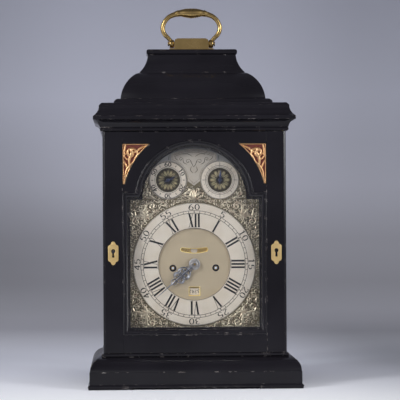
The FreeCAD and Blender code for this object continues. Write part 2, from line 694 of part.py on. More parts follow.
def make_hinges():
    """Pivot plates in the door ends, and their sockets in the case."""
    plates = []
    for z, inward in ((DOOR_BOTTOM, 1), (DOOR_TOP, -1)):
        reach = 3.0
        plates.append(fuse(hinge_leaf(FRONT_PIVOT_X, FRONT_PIVOT_Y, z, inward, -1),
                           rod_z(PIVOT_R, FRONT_PIVOT_X, FRONT_PIVOT_Y, *sorted((z + inward, z - inward * reach)))))
    node("front_door_pivots", group(*plates))
    plates = []
    for z, inward in ((REAR_DOOR_BOTTOM, 1), (REAR_DOOR_TOP, -1)):
        plates.append(fuse(hinge_leaf(REAR_PIVOT_X, REAR_PIVOT_Y, z, inward, -1),
                           rod_z(PIVOT_R, REAR_PIVOT_X, REAR_PIVOT_Y, *sorted((z + inward, z - inward * 3.0)))))
    node("rear_door_pivots", group(*plates))


# ---------------------------------------------------------------- rear door
REAR_DOOR_BOTTOM = 46.1
REAR_DOOR_TOP = 329.5
REAR_THICK = 12.0
REAR_FRAME = 26.0
REAR_EDGE = SIDE_INNER - RUNNING_GAP
REAR_FREE = SIDE_INNER - 0.8
REAR_PIVOT_X = REAR_EDGE - PIVOT_INSET
REAR_PIVOT_Y = BACK - PIVOT_INSET
REAR_LOCK_Z = 188.0
REAR_BOLT_HALF = 4.0
REAR_BOLT_Y = (BACK - REAR_THICK + 3.0, BACK - REAR_THICK + 6.0)
REAR_BOLT_THROW = 4.0
SOCKET_R = PIVOT_R + 1.6
SOCKET_DEEP = 4.0


def rear_wire(inset):
    x0, x1 = -REAR_FREE + REAR_FRAME - inset, REAR_EDGE - REAR_FRAME + inset
    z0, z1 = REAR_DOOR_BOTTOM + REAR_FRAME - inset, REAR_DOOR_TOP - REAR_FRAME + inset
    return outline("xz", (x0, z0), (x1, z0), (x1, z1), (x0, z1))


def make_rear_door():
    r = PIVOT_INSET
    shape = outline("xy", (-REAR_FREE, BACK - REAR_THICK), (REAR_EDGE, BACK - REAR_THICK), (REAR_EDGE, BACK - r),
                    ((REAR_EDGE - r * (1 - sqrt(0.5)), BACK - r * (1 - sqrt(0.5))), (REAR_EDGE - r, BACK)),
                    (-REAR_FREE, BACK))
    frame = prism("xy", shape, REAR_DOOR_BOTTOM, REAR_DOOR_TOP)
    frame = frame.cut(prism("xz", rear_wire(0), BACK - REAR_THICK - 1, BACK + 1))
    seat = BACK - REAR_THICK
    frame = frame.cut(prism("xz", rear_wire(4), seat - 1, seat + GLASS_THICK + 2))
    for z, inward in ((REAR_DOOR_BOTTOM, 1), (REAR_DOOR_TOP, -1)):
        frame = frame.cut(hinge_leaf(REAR_PIVOT_X, REAR_PIVOT_Y, z, inward, -1))
    x0 = -REAR_FREE
    pocket = box(x0 - 1, x0 + 18, seat + 1.5, seat + 7.5, REAR_LOCK_Z - 14, REAR_LOCK_Z + 14)
    frame = frame.cut(pocket)
    node("rear_door_frame", frame)
    node("rear_door_glass", prism("xz", rear_wire(3.8), seat + 2, seat + 2 + GLASS_THICK))
    case = box(x0, x0 + 18, seat + 1.5, seat + 7.5, REAR_LOCK_Z - 14, REAR_LOCK_Z + 14)
    way = box(x0 - 1, x0 + 13, REAR_BOLT_Y[0] - 0.2, REAR_BOLT_Y[1] + 0.2,
              REAR_LOCK_Z - REAR_BOLT_HALF - 0.2, REAR_LOCK_Z + REAR_BOLT_HALF + 0.2)
    node("rear_lock", case.cut(way))
    node("rear_lock_bolt", box(x0 + 0.2, x0 + 12, *REAR_BOLT_Y, REAR_LOCK_Z - REAR_BOLT_HALF,
                               REAR_LOCK_Z + REAR_BOLT_HALF))


# ---------------------------------------------------------------- dial
def dial_wire(grow):
    half = DIAL_HALF + grow
    r = DIAL_ARCH_R + grow
    top = DIAL_SHOULDER + grow
    return outline("xz", (-half, DIAL_BOTTOM - grow), (-half, top), *arch_points(r, (0, ARCH_Z), top), (half, top),
                   (half, DIAL_BOTTOM - grow))


def bob_slot():
    """Curved slot for the mock pendulum: straight above, following the swing below."""
    low, high = BOB_SLOT_Z
    return outline("xz", (-BOB_SLOT_HALF, high), (-BOB_SLOT_HALF + 0.6, high - 3.4),
                   ((0, low), (BOB_SLOT_HALF - 0.6, high - 3.4)), (BOB_SLOT_HALF, high))


DATE_RING_R = (32.2, 41.0)
DATE_RING_Y = (DIAL_BACK + 0.3, DIAL_BACK + 1.3)


def make_dial():
    plate = prism("xz", dial_wire(0), DIAL_FRONT, DIAL_BACK)
    through = (DIAL_FRONT - 1, DIAL_BACK + 1)
    plate = plate.cut(prism("xz", bob_slot(), *through))
    for side in (-1, 1):
        plate = plate.cut(bore_y(WINDING_HOLE_R, side * WINDING_X, WINDING_Z, *through))
        plate = plate.cut(bore_y(SUB_ARBOR_R + PIVOT_PLAY, side * SUB_X, SUB_Z, *through))
    plate = plate.cut(bore_y(HOUR_PIPE_R + RUNNING_GAP, 0, DIAL_Z, *through))
    half_x, half_z = DATE_SIZE[0] / 2, DATE_SIZE[1] / 2
    plate = plate.cut(box(-half_x, half_x, *through, DATE_Z - half_z, DATE_Z + half_z))
    feet = [rod_y(2.6, side * 58, z, DIAL_BACK, PLATE_FRONT) for side in (-1, 1) for z in (108, 222)]
    studs = []
    stud_r = 1.5
    at = DATE_RING_R[1] + stud_r + 0.3
    for angle in (30, 150, 270):
        x, z = at * cos(radians(angle)), DIAL_Z + at * sin(radians(angle))
        studs.append(turned_y(x, z, [(0, DIAL_BACK), (stud_r, DIAL_BACK), (stud_r, DATE_RING_Y[1] + 0.3),
                                     (stud_r + 1.4, DATE_RING_Y[1] + 0.3), (stud_r + 1.4, DATE_RING_Y[1] + 1.1),
                                     (0, DATE_RING_Y[1] + 1.1)], 6))
    node("dial_plate", fuse(plate, *feet, *studs))

    ring = rod_y(RING_R, 0, DIAL_Z, RING_FRONT, DIAL_FRONT)
    node("chapter_ring", ring.cut(bore_y(RING_INNER, 0, DIAL_Z, RING_FRONT - 1, DIAL_FRONT + 1)))

    rings = []
    for side in (-1, 1):
        ring = rod_y(SUB_R, side * SUB_X, SUB_Z, DIAL_FRONT - 1.6, DIAL_FRONT)
        ring = ring.cut(bore_y(SUB_INNER, side * SUB_X, SUB_Z, DIAL_FRONT - 2, DIAL_FRONT - 0.7))
        rings.append(ring.cut(bore_y(SUB_ARBOR_R + PIVOT_PLAY, side * SUB_X, SUB_Z, *through)))
    node("subsidiary_dials", group(*rings))

    mask = outline("xz", (-SIDE_INNER, BOTTOM_BOARD_Z[1]), (-SIDE_INNER, CORNICE_BOTTOM - 16),
                   (SIDE_INNER, CORNICE_BOTTOM - 16), (SIDE_INNER, BOTTOM_BOARD_Z[1]))
    mask = prism("xz", mask, CASE_FRONT, DIAL_FRONT - 0.1)
    node("dial_mask", mask.cut(prism("xz", dial_wire(-1.2), CASE_FRONT - 1, DIAL_FRONT + 1)))

    date = rod_y(DATE_RING_R[1], 0, DIAL_Z, *DATE_RING_Y)
    date = date.cut(bore_y(DATE_RING_R[0], 0, DIAL_Z, DIAL_BACK, DIAL_BACK + 3))
    node("date_ring", date)


SPANDREL_THICK = 1.8


def make_spandrels():
    """Cast corner mounts round the chapter ring, drawn for the upper right corner. The carving on
    them is left out here."""
    edge = DIAL_HALF - 4.2
    inner = RING_R + 1.6
    half = [(edge, edge), (edge - 9, edge), (edge - 16, edge - 3), (edge - 27, edge), (edge - 37, edge - 2),
            (edge - 45, edge)]
    angle = atan2(edge - 5, edge - 47)
    half.append((inner * cos(angle), inner * sin(angle)))
    half.append((inner * cos(angle - 0.17), inner * sin(angle - 0.17)))
    middle = (inner * sqrt(0.5), inner * sqrt(0.5))
    points = half + [middle] + [(v, u) for u, v in half[:0:-1]]
    corner = outline("xz", *[(u, DIAL_Z + v) for u, v in points])
    corner = prism("xz", corner, DIAL_FRONT - SPANDREL_THICK, DIAL_FRONT)
    upper_left = mirrored(corner)
    lower_right = corner.mirror(Vec(0, 0, DIAL_Z), Vec(0, 0, 1))
    node("corner_spandrels", group(corner, upper_left, lower_right, mirrored(lower_right)))


def make_arch_work():
    """Silvered plaque between the small dials and the foliate castings under and beside them."""
    gap = 0.8
    top_r = DIAL_ARCH_R - 4.2
    plaque = rod_y(top_r, 0, ARCH_Z, DIAL_FRONT - 1.2, DIAL_FRONT)
    plaque = plaque.common(box(-30, 30, DIAL_FRONT - 3, DIAL_FRONT + 1, SUB_Z - 8, 400))
    point = outline("xz", (0, SUB_Z - 7.4), (-6.0, SUB_Z + 4), (-40, SUB_Z + 26), (-40, 400), (40, 400),
                    (40, SUB_Z + 26), (6.0, SUB_Z + 4))
    plaque = plaque.common(prism("xz", point, DIAL_FRONT - 3, DIAL_FRONT + 1))
    for side in (-1, 1):
        plaque = plaque.cut(rod_y(SUB_R + gap, side * SUB_X, SUB_Z, DIAL_FRONT - 3, DIAL_FRONT + 1))
    node("arch_plaque", max(plaque.Solids, key=lambda solid: solid.Volume))

    y0 = DIAL_FRONT - SPANDREL_THICK
    low = DIAL_Z + sqrt((RING_R + 1.0) ** 2 - 9.0 ** 2)
    half = [(0, 262.0), (2.4, 257.0), (8.4, 256.0), (11.6, 251.6), (17.0, 249.6), (17.8, 244.6), (9.0, low)]
    centre = prism("xz", outline("xz", *half, *[(-x, z) for x, z in half[:0:-1]]), y0, DIAL_FRONT)
    side = prism("xz", outline("xz", (63.4, 263.4), (66.2, 258.0), (66.4, 252.0), (59.0, 250.0), (55.2, 254.2),
                               (60.2, 257.6)), y0, DIAL_FRONT)
    for mirror in (-1, 1):
        rim = rod_y(SUB_R + 0.5, mirror * SUB_X, SUB_Z, DIAL_FRONT - 4, DIAL_FRONT + 1)
        centre, side = centre.cut(rim), side.cut(rim)
    node("arch_mounts", group(centre, side, mirrored(side)))


# ---------------------------------------------------------------- hands
SUB_ARBOR_R = 1.2
HOUR_PIPE_R = 4.4
HOUR_PIPE_BORE = 2.6
CANNON_R = 2.3
HOUR_HAND_Y = (RING_FRONT - 2.4, RING_FRONT - 1.4)
MINUTE_HAND_Y = (RING_FRONT - 4.9, RING_FRONT - 3.9)
COLLET_Y = RING_FRONT - 8.0


def flat(wire, ys):
    return prism("xz", wire, *ys)


def make_hour_hand():
    """Pierced hour hand drawn upright, then turned to the time shown."""
    ys = HOUR_HAND_Y
    boss = rod_y(7.6, 0, 0, *ys)
    stem = flat(outline("xz", (-1.9, 0), (-1.2, 30), (1.2, 30), (1.9, 0)), ys)
    tip = flat(outline("xz", (-1.2, 28), (-3.2, 32.6), (-2.9, 37), (0, 49.0), (2.9, 37), (3.2, 32.6), (1.2, 28)),
               ys)
    loops = []
    for side in (-1, 1):
        for centre, r, width, start, end in (((5.4, 21.0), 4.9, 2.2, -200, 100), ((6.4, 30.2), 3.4, 1.9, 110, 400)):
            wire = ribbon("xz", centre, r, width, start, end)
            loop = flat(wire, ys)
            loops.append(loop if side > 0 else mirrored(loop))
    bars = [flat(outline("xz", (-7.4, z), (-7.4, z + 1.5), (7.4, z + 1.5), (7.4, z)), ys) for z in (16.2, 26.2)]
    hand = fuse(boss, stem, tip, *loops, *bars)
    hand = hand.cut(bore_y(HOUR_PIPE_R - 0.8, 0, 0, ys[0] - 1, ys[1] + 1))
    hand = moved(hand, "z", DIAL_Z)
    node("hour_hand", turn_y(hand, 0, DIAL_Z, HAND_ANGLE))


def make_minute_hand():
    ys = MINUTE_HAND_Y
    boss = rod_y(4.6, 0, 0, *ys)
    blade = flat(outline("xz", (-1.5, 0), (-1.1, 20), (-0.9, 46), (0, 67.4), (0.9, 46), (1.1, 20), (1.5, 0)), ys)
    loops = []
    for side in (-1, 1):
        loop = flat(ribbon("xz", (2.7, 10.4), 2.2, 1.5, -120, 170), ys)
        loops.append(loop if side > 0 else mirrored(loop))
    hand = fuse(boss, blade, *loops)
    hand = moved(hand, "z", DIAL_Z)
    hand = turn_y(hand, 0, DIAL_Z, HAND_ANGLE)
    collet = turned_y(0, DIAL_Z, [(1.2, ys[0]), (4.0, ys[0]), (3.6, ys[0] - 1.4), (1.2, ys[0] - 1.8)])
    hand = fuse(hand, collet)
    node("minute_hand", hand.cut(bore_y(CENTRE_TIP_R, 0, DIAL_Z, ys[0] - 4, ys[1] + 1)))


CENTRE_TIP_R = 1.2


def sub_hand(x, angle):
    """Small steel hand with its arbor through the dial."""
    y0 = DIAL_FRONT - 3.2
    y1 = y0 + 0.7
    blade = outline("xz", (-0.7, -5.5), (-1.0, 0), (-1.9, 5.6), (0, 13.6), (1.9, 5.6), (1.0, 0), (0.7, -5.5))
    hand = fuse(prism("xz", blade, y0, y1), rod_y(2.3, 0, 0, y0 - 0.6, y1),
                pivot_y(SUB_ARBOR_R, 0, 0, y0, DIAL_BACK + 0.4), rod_y(3.4, 0, 0, DIAL_BACK + 0.3, DIAL_BACK + 1.3))
    hand.translate(Vec(x, 0, SUB_Z))
    return turn_y(hand, x, SUB_Z, angle)


def make_sub_hands():
    node("regulation_hand", sub_hand(-SUB_X, 66))
    node("strike_silent_hand", sub_hand(SUB_X, 4))


# ---------------------------------------------------------------- toothed wheels
def toothed(teeth, module, phase, leaves):
    """Outline of a wheel or pinion about the origin in xz. A tooth points at `phase` degrees,
    measured from +X towards +Z. A pinion has flat-bottomed gaps between its leaves."""
    r = teeth * module / 2
    points = []
    for index in range(teeth):
        middle = radians(phase) + 2 * pi * index / teeth
        pitch = 2 * pi / teeth
        if leaves:
            rim = ((r - 1.05 * module, -0.17), (r + 0.6 * module, -0.08), (r + 0.6 * module, 0.08),
                   (r - 1.05 * module, 0.17))
        else:
            rim = ((r - 1.5 * module, -0.5), (r + 0.75 * module, 0.0))
        for radius, share in rim:
            angle = middle + share * pitch
            points.append((radius * cos(angle), radius * sin(angle)))
    return points


def gear(x, z, y0, y1, teeth, module, phase, leaves=False):
    points = [Vec(x + u, 0, z + v) for u, v in toothed(teeth, module, phase, leaves)]
    wire = Part.makePolygon(points + points[:1])
    return prism("xz", wire, y0, y1)


def crossings(x, z, inner, outer, arms, y0, y1, arm=2.4, phase=0):
    """Windows between the arms of a wheel."""
    cut = []
    for index in range(arms):
        start = radians(phase) + 2 * pi * index / arms
        end = start + 2 * pi / arms
        points = []
        for radius, angle, sign in ((inner, start, 1), (outer, start, 1), (outer, (start + end) / 2, 0),
                                    (outer, end, -1), (inner, end, -1)):
            swing = angle + sign * asin(arm / 2 / radius)
            points.append((x + radius * cos(swing), z + radius * sin(swing)))
        cut.append(prism("xz", outline("xz", *points), y0 - 1, y1 + 1))
    return cut


def heading(a, b):
    """Angle in degrees from one arbor to another, in the xz plane."""
    return degrees(atan2(b[1] - a[1], b[0] - a[0]))


CENTRE = (0.0, DIAL_Z)
GOING = (WINDING_X, WINDING_Z)
STRIKE = (-WINDING_X, WINDING_Z)
GREAT_REACH = hypot(WINDING_X, WINDING_Z - DIAL_Z)
GREAT_MODULE = 2 * GREAT_REACH / (GREAT_TEETH + CENTRE_LEAVES)
THIRD_X = -14.0
CENTRE_THIRD = (CENTRE_TEETH + THIRD_LEAVES) * CENTRE_MODULE / 2
THIRD = (THIRD_X, DIAL_Z + sqrt(CENTRE_THIRD ** 2 - THIRD_X ** 2))
THIRD_CONTRATE = (THIRD_TEETH + CONTRATE_LEAVES) * THIRD_MODULE / 2
CONTRATE = (0.0, THIRD[1] + sqrt(THIRD_CONTRATE ** 2 - THIRD_X ** 2))
CONTRATE_R = CONTRATE_TEETH * CONTRATE_MODULE / 2
CROWN_Y = 0.0
CROWN_PINION_R = CROWN_LEAVES * CONTRATE_MODULE / 2
CROWN_PINION_Z = CONTRATE[1] + CONTRATE_R
PIN_DIRECTION = 128.0      # from the strike great wheel up to the pin wheel
PIN_WHEEL = (STRIKE[0] + GREAT_REACH * cos(radians(PIN_DIRECTION)),
             STRIKE[1] + GREAT_REACH * sin(radians(PIN_DIRECTION)))
PIN_RADIUS = 11.0
PIN_COUNT = 8
MINUTE_DIRECTION = 270.0   # the minute wheel's stud lies straight under the centre
MOTION_REACH = (CANNON_TEETH + MINUTE_TEETH) * MOTION_MODULE / 2
HOUR_MODULE = 2 * MOTION_REACH / (MINUTE_LEAVES + HOUR_TEETH)
MINUTE = (MOTION_REACH * cos(radians(MINUTE_DIRECTION)), DIAL_Z + MOTION_REACH * sin(radians(MINUTE_DIRECTION)))
BARREL_R = 18.5
BARREL_OFFSET = (8.0, -41.0)
GOING_BARREL = (GOING[0] + BARREL_OFFSET[0], GOING[1] + BARREL_OFFSET[1])
STRIKE_BARREL = (-GOING_BARREL[0], GOING_BARREL[1])
HAMMER = (-50.0, 208.0)

# places of the wheels between the plates, front to back
CENTRE_WHEEL_Y = (-30.9, -29.3)
GOING_GREAT_Y = (-27.4, -25.2)
STRIKE_GREAT_Y = (16.8, 19.0)
PIN_WHEEL_Y = (21.6, 23.0)
THIRD_WHEEL_Y = (25.6, 27.0)


def arbor(at, y0=None, y1=None, r=ARBOR_R):
    """An arbor between the plates with a thin pivot in each."""
    y0 = PLATE_INNER_F + 0.2 if y0 is None else y0
    y1 = PLATE_INNER_B - 0.2 if y1 is None else y1
    front = rod_y(PIVOT_SMALL, *at, PLATE_FRONT, y0 + 1)
    return [rod_y(r, *at, y0, y1), front, pivot_y(PIVOT_SMALL, *at, y1 - 1, PLATE_BACK)]


def make_centre():
    """Centre arbor: pinion and wheel inside, cannon wheel and pipe in front, squared for the hand."""
    pinion = gear(*CENTRE, -28.4, -24.0, CENTRE_LEAVES, GREAT_MODULE, heading(CENTRE, GOING), True)
    to_third = heading(CENTRE, THIRD)
    wheel = gear(*CENTRE, *CENTRE_WHEEL_Y, CENTRE_TEETH, CENTRE_MODULE, to_third)
    for window in crossings(*CENTRE, 5.6, 16.8, 4, *CENTRE_WHEEL_Y, phase=45):
        wheel = wheel.cut(window)
    shaft = rod_y(ARBOR_R, *CENTRE, PLATE_INNER_F + 0.2, PLATE_INNER_B - 0.2)
    rear_pivot = pivot_y(PIVOT_SMALL, *CENTRE, PLATE_INNER_B - 1, PLATE_BACK)
    neck = rod_y(CANNON_R - 0.6, *CENTRE, -38.2, -29.0)
    cannon = gear(*CENTRE, -38.2, -35.6, CANNON_TEETH, MOTION_MODULE, heading(CENTRE, MINUTE), True)
    pipe = rod_y(CANNON_R, *CENTRE, MINUTE_HAND_Y[1], -38.0)
    tip = rod_y(CENTRE_TIP_R, *CENTRE, COLLET_Y, MINUTE_HAND_Y[1] + 1)
    node("centre_wheel", fuse(pinion, wheel, shaft, rear_pivot, neck, cannon, pipe, tip))


def make_motion_work():
    to_centre = heading(MINUTE, CENTRE)
    wheel = gear(*MINUTE, -38.2, -36.4, MINUTE_TEETH, MOTION_MODULE, to_centre + 180 / MINUTE_TEETH)
    for window in crossings(*MINUTE, 4.6, 10.4, 3, -38.2, -36.4, arm=2.0):
        wheel = wheel.cut(window)
    pinion = gear(*MINUTE, -43.0, -38.2, MINUTE_LEAVES, HOUR_MODULE, to_centre + 180 / MINUTE_LEAVES, True)
    stud = rod_y(1.0, *MINUTE, -43.0, PLATE_FRONT + 1.2)
    tip = pivot_y(1.0, *MINUTE, -43.6, -42.0)
    node("minute_wheel", fuse(wheel, pinion, stud, tip))

    wheel = gear(*CENTRE, -42.6, -41.0, HOUR_TEETH, HOUR_MODULE, heading(CENTRE, MINUTE))
    for window in crossings(*CENTRE, 6.2, 11.6, 4, -42.6, -41.0):
        wheel = wheel.cut(window)
    pipe = rod_y(HOUR_PIPE_R, *CENTRE, HOUR_HAND_Y[1], -41.0)
    seat = rod_y(HOUR_PIPE_R - 0.8, *CENTRE, HOUR_HAND_Y[0] - 0.2, HOUR_HAND_Y[1])
    pipe = fuse(pipe, seat, wheel)
    node("hour_wheel", pipe.cut(bore_y(HOUR_PIPE_BORE, *CENTRE, HOUR_HAND_Y[0] - 1, -40)))


def make_third():
    pinion = gear(*THIRD, -31.0, -27.6, THIRD_LEAVES, CENTRE_MODULE,
                  heading(THIRD, CENTRE) + 180 / THIRD_LEAVES, True)
    wheel = gear(*THIRD, *THIRD_WHEEL_Y, THIRD_TEETH, THIRD_MODULE, heading(THIRD, CONTRATE))
    for window in crossings(*THIRD, 3.4, 10.6, 4, *THIRD_WHEEL_Y, arm=2.0):
        wheel = wheel.cut(window)
    node("third_wheel", fuse(pinion, wheel, *arbor(THIRD, r=1.2)))


def make_contrate():
    """Crown-toothed wheel that turns the drive upright to the escape wheel."""
    pinion = gear(*CONTRATE, 25.0, 27.6, CONTRATE_LEAVES, THIRD_MODULE,
                  heading(CONTRATE, THIRD) + 180 / CONTRATE_LEAVES, True)
    pitch_y = CROWN_Y - CROWN_PINION_R
    tip_y = pitch_y + 0.7 * CONTRATE_MODULE
    root_y = pitch_y - 1.5 * CONTRATE_MODULE
    back_y = root_y - 2.3
    inner, outer = CONTRATE_R - 1.3, CONTRATE_R + 1.0
    rim = turned_y(*CONTRATE, [(0, back_y), (outer, back_y), (outer, tip_y), (inner, tip_y), (inner, back_y + 1.3),
                               (0, back_y + 1.3)], CONTRATE_TEETH)
    half = pi * CONTRATE_R / CONTRATE_TEETH
    gap_top = half * 0.74
    cuts = []
    for index in range(CONTRATE_TEETH):
        angle = 360 * (index + 0.5) / CONTRATE_TEETH + 90
        notch = outline("xy", (0, root_y), (gap_top * 1.2, tip_y + 0.36), (-gap_top * 1.2, tip_y + 0.36))
        notch = prism("xy", notch, inner - 0.5, outer + 0.5)
        notch.translate(Vec(CONTRATE[0], 0, CONTRATE[1]))
        cuts.append(turn_y(notch, *CONTRATE, angle - 90))
    wheel = rim.cut(Part.makeCompound(cuts))
    for window in crossings(*CONTRATE, 3.0, inner - 0.8, 3, back_y, back_y + 1.3, arm=1.8):
        wheel = wheel.cut(window)
    node("contrate_wheel", fuse(wheel, pinion, *arbor(CONTRATE, r=1.1)))


CROWN_BASE_Z = 203.4
CROWN_TIP_Z = 210.0
POTENCE_Z = (194.0, 195.8)
NOSE_Z = (201.3, 203.1)    # the upper bearing, between the pinion and the wheel


def make_crown():
    """Escape wheel: raking teeth round an upright arbor."""
    points = toothed(CROWN_LEAVES, CONTRATE_MODULE, 270 + 180 / CROWN_LEAVES, True)
    wire = Part.makePolygon([Vec(u, CROWN_Y + v, 0) for u, v in points + points[:1]])
    pinion = prism("xy", wire, CROWN_PINION_Z - 2.4, CROWN_PINION_Z + 2.4)
    rim = turned_z(0, CROWN_Y, [(0, CROWN_BASE_Z), (CROWN_R, CROWN_BASE_Z), (CROWN_R, CROWN_TIP_Z),
                                (CROWN_R - 1.2, CROWN_TIP_Z), (CROWN_R - 1.2, CROWN_BASE_Z + 1.4),
                                (0, CROWN_BASE_Z + 1.4)], CROWN_TEETH)
    step = 2 * pi * CROWN_R / CROWN_TEETH
    cuts = []
    for index in range(CROWN_TEETH):
        notch = outline("xz", (-step * 0.36, CROWN_TIP_Z + 1), (-step * 0.10, CROWN_BASE_Z + 3.0),
                        (step * 0.34, CROWN_BASE_Z + 3.0), (step * 0.52, CROWN_TIP_Z + 1))
        notch = prism("xz", notch, -CROWN_R - 1, -CROWN_R + 2.4)
        notch.translate(Vec(0, CROWN_Y, 0))
        notch.rotate(Vec(0, CROWN_Y, 0), Vec(0, 0, 1), 360 * index / CROWN_TEETH)
        cuts.append(notch)
    wheel = rim.cut(Part.makeCompound(cuts))
    shaft = rod_z(1.0, 0, CROWN_Y, POTENCE_Z[1] + 0.2, CROWN_BASE_Z + 1)
    pivot = Part.makeCylinder(0.6, POTENCE_Z[1] + 1 - POTENCE_Z[0], Vec(0, CROWN_Y, POTENCE_Z[0]))
    node("crown_wheel", fuse(wheel, pinion, shaft, pivot))


FUSEE_SMALL = 7.0
FUSEE_LARGE = 16.5


def fusee_profile(large_y, small_y):
    """A cone whose radius falls off along a hyperbola, as the spring's pull asks."""
    span = small_y - large_y
    sign = 1 if span > 0 else -1
    points = [(ARBOR_R, large_y), (FUSEE_LARGE + 1.6, large_y), (FUSEE_LARGE + 1.6, large_y + sign * 1.4)]
    length = abs(span) - 2.8
    for along in (0.0, 0.25, 0.6, 1.0):
        r = 1 / (1 / FUSEE_LARGE + along * (1 / FUSEE_SMALL - 1 / FUSEE_LARGE))
        points.append((r, large_y + sign * (1.4 + along * length)))
    points += [(FUSEE_SMALL + 1.8, small_y - sign * 1.4), (FUSEE_SMALL + 1.8, small_y), (ARBOR_R, small_y)]
    return points


def make_fusee(name, at, great_ys, large_y, small_y, mate):
    wheel = gear(*at, *great_ys, GREAT_TEETH, GREAT_MODULE, heading(at, mate) + 180 / GREAT_TEETH)
    cone = turned_y(*at, fusee_profile(large_y, small_y))
    shaft = rod_y(ARBOR_R + 1.0, *at, PLATE_INNER_F + 0.2, PLATE_INNER_B - 0.2)
    rear = pivot_y(PIVOT_SMALL + 0.6, *at, PLATE_INNER_B - 1, PLATE_BACK)
    front = rod_y(FUSEE_PIVOT_R, *at, -42.0, PLATE_INNER_F + 1)
    square = box(at[0] - 1.75, at[0] + 1.75, RING_FRONT + 0.6, -41.0, at[1] - 1.75, at[1] + 1.75)
    node(name, fuse(wheel, cone, shaft, rear, front, square))


FUSEE_PIVOT_R = 2.4


def make_fusees():
    make_fusee("going_fusee", GOING, GOING_GREAT_Y, GOING_GREAT_Y[1], 22.0, CENTRE)
    make_fusee("strike_fusee", STRIKE, STRIKE_GREAT_Y, STRIKE_GREAT_Y[0], -26.0, PIN_WHEEL)


def make_barrel(name, at, y0, y1):
    drum = turned_y(*at, [(0, y0), (BARREL_R + 0.8, y0), (BARREL_R + 0.8, y0 + 1.6), (BARREL_R, y0 + 1.6),
                          (BARREL_R, y1), (0, y1)])
    node(name, fuse(drum, *arbor(at, r=2.4)))


def make_barrels():
    make_barrel("going_barrel", GOING_BARREL, -23.0, 18.0)
    make_barrel("strike_barrel", STRIKE_BARREL, -23.0, 14.0)


def make_pin_wheel():
    pinion = gear(*PIN_WHEEL, 15.6, 20.4, CENTRE_LEAVES, GREAT_MODULE, heading(PIN_WHEEL, STRIKE), True)
    wheel = rod_y(13.0, *PIN_WHEEL, *PIN_WHEEL_Y)
    for window in crossings(*PIN_WHEEL, 4.4, 9.0, 3, *PIN_WHEEL_Y, arm=2.4):
        wheel = wheel.cut(window)
    pins = []
    for index in range(PIN_COUNT):
        angle = 2 * pi * (index + 0.5) / PIN_COUNT
        pins.append(rod_y(0.8, PIN_WHEEL[0] + PIN_RADIUS * cos(angle), PIN_WHEEL[1] + PIN_RADIUS * sin(angle),
                          PIN_WHEEL_Y[1] - 0.5, PIN_WHEEL_Y[1] + 3.2))
    node("pin_wheel", fuse(wheel, pinion, *pins, *arbor(PIN_WHEEL, r=1.3)))


# ---------------------------------------------------------------- verge, pendulum and bell
PENDULUM_Y = PLATE_BACK + 11.0      # the pendulum swings clear behind the back plate
BOB_Y = (DIAL_BACK + 2.6, DIAL_BACK + 3.6)
BOB_R = 4.6
PENDULUM_BOB_Z = 112.0
PENDULUM_BOB_R = 15.0


def make_verge():
    """Verge arbor with its two pallets, the crutch-less bob pendulum behind and the mock bob's arm."""
    arbor_rod = rod_y(1.2, 0, VERGE_Z, BOB_Y[0], PENDULUM_Y)
    rear_end = pivot_y(1.2, 0, VERGE_Z, PENDULUM_Y, PENDULUM_Y + 3)
    pallets = []
    for y, lean in ((CROWN_Y - CROWN_R + 0.6, -45), (CROWN_Y + CROWN_R - 0.6, 45)):
        flag = box(-0.5, 0.5, y - 2.0, y + 2.0, VERGE_Z - 5.2, VERGE_Z)
        pallets.append(turn_y(flag, 0, VERGE_Z, lean))
    hub = rod_y(2.6, 0, VERGE_Z, PENDULUM_Y - 2.5, PENDULUM_Y + 2.5)
    rod = rod_z(1.1, 0, PENDULUM_Y, PENDULUM_BOB_Z, VERGE_Z)
    bob = turned_y(0, PENDULUM_BOB_Z, [(0, PENDULUM_Y - 5.6), (6.0, PENDULUM_Y - 5.2), (12.0, PENDULUM_Y - 3.2),
                                       (PENDULUM_BOB_R, PENDULUM_Y - 0.7), (PENDULUM_BOB_R, PENDULUM_Y + 0.7),
                                       (12.0, PENDULUM_Y + 3.2), (6.0, PENDULUM_Y + 5.2), (0, PENDULUM_Y + 5.6)])
    node("verge_pendulum", fuse(arbor_rod, rear_end, *pallets, hub, rod, bob))

    swing = VERGE_Z - (BOB_SLOT_Z[0] + BOB_SLOT_Z[1]) / 2 - 0.4
    disc = rod_y(BOB_R, 0, VERGE_Z - swing, *BOB_Y)
    arm = box(-0.9, 0.9, *BOB_Y, VERGE_Z - swing, VERGE_Z)
    eye = rod_y(2.6, 0, VERGE_Z, *BOB_Y)
    mock = fuse(disc, arm, eye).cut(bore_y(1.2, 0, VERGE_Z, BOB_Y[0] - 1, BOB_Y[1] + 1))
    node("mock_bob", mock)


BELL_R = 32.0
BELL_MOUTH_Z = 243.0
BELL_TOP_Z = 268.0
BELL_WALL = 1.8
BELL_CENTRE_Y = -5.0


def make_bell():
    top = BELL_TOP_Z
    outside = [(3.0, top), (12.0, top), (24.0, top - 5.0), (30.0, top - 16.0), (BELL_R, BELL_MOUTH_Z)]
    inside = [(BELL_R - 2.2, BELL_MOUTH_Z), (27.8, top - 15.6), (22.4, top - 6.6), (11.6, top - BELL_WALL),
              (3.0, top - BELL_WALL)]
    dome = turned_z(0, BELL_CENTRE_Y, outside + inside)
    node("clock_bell", dome)


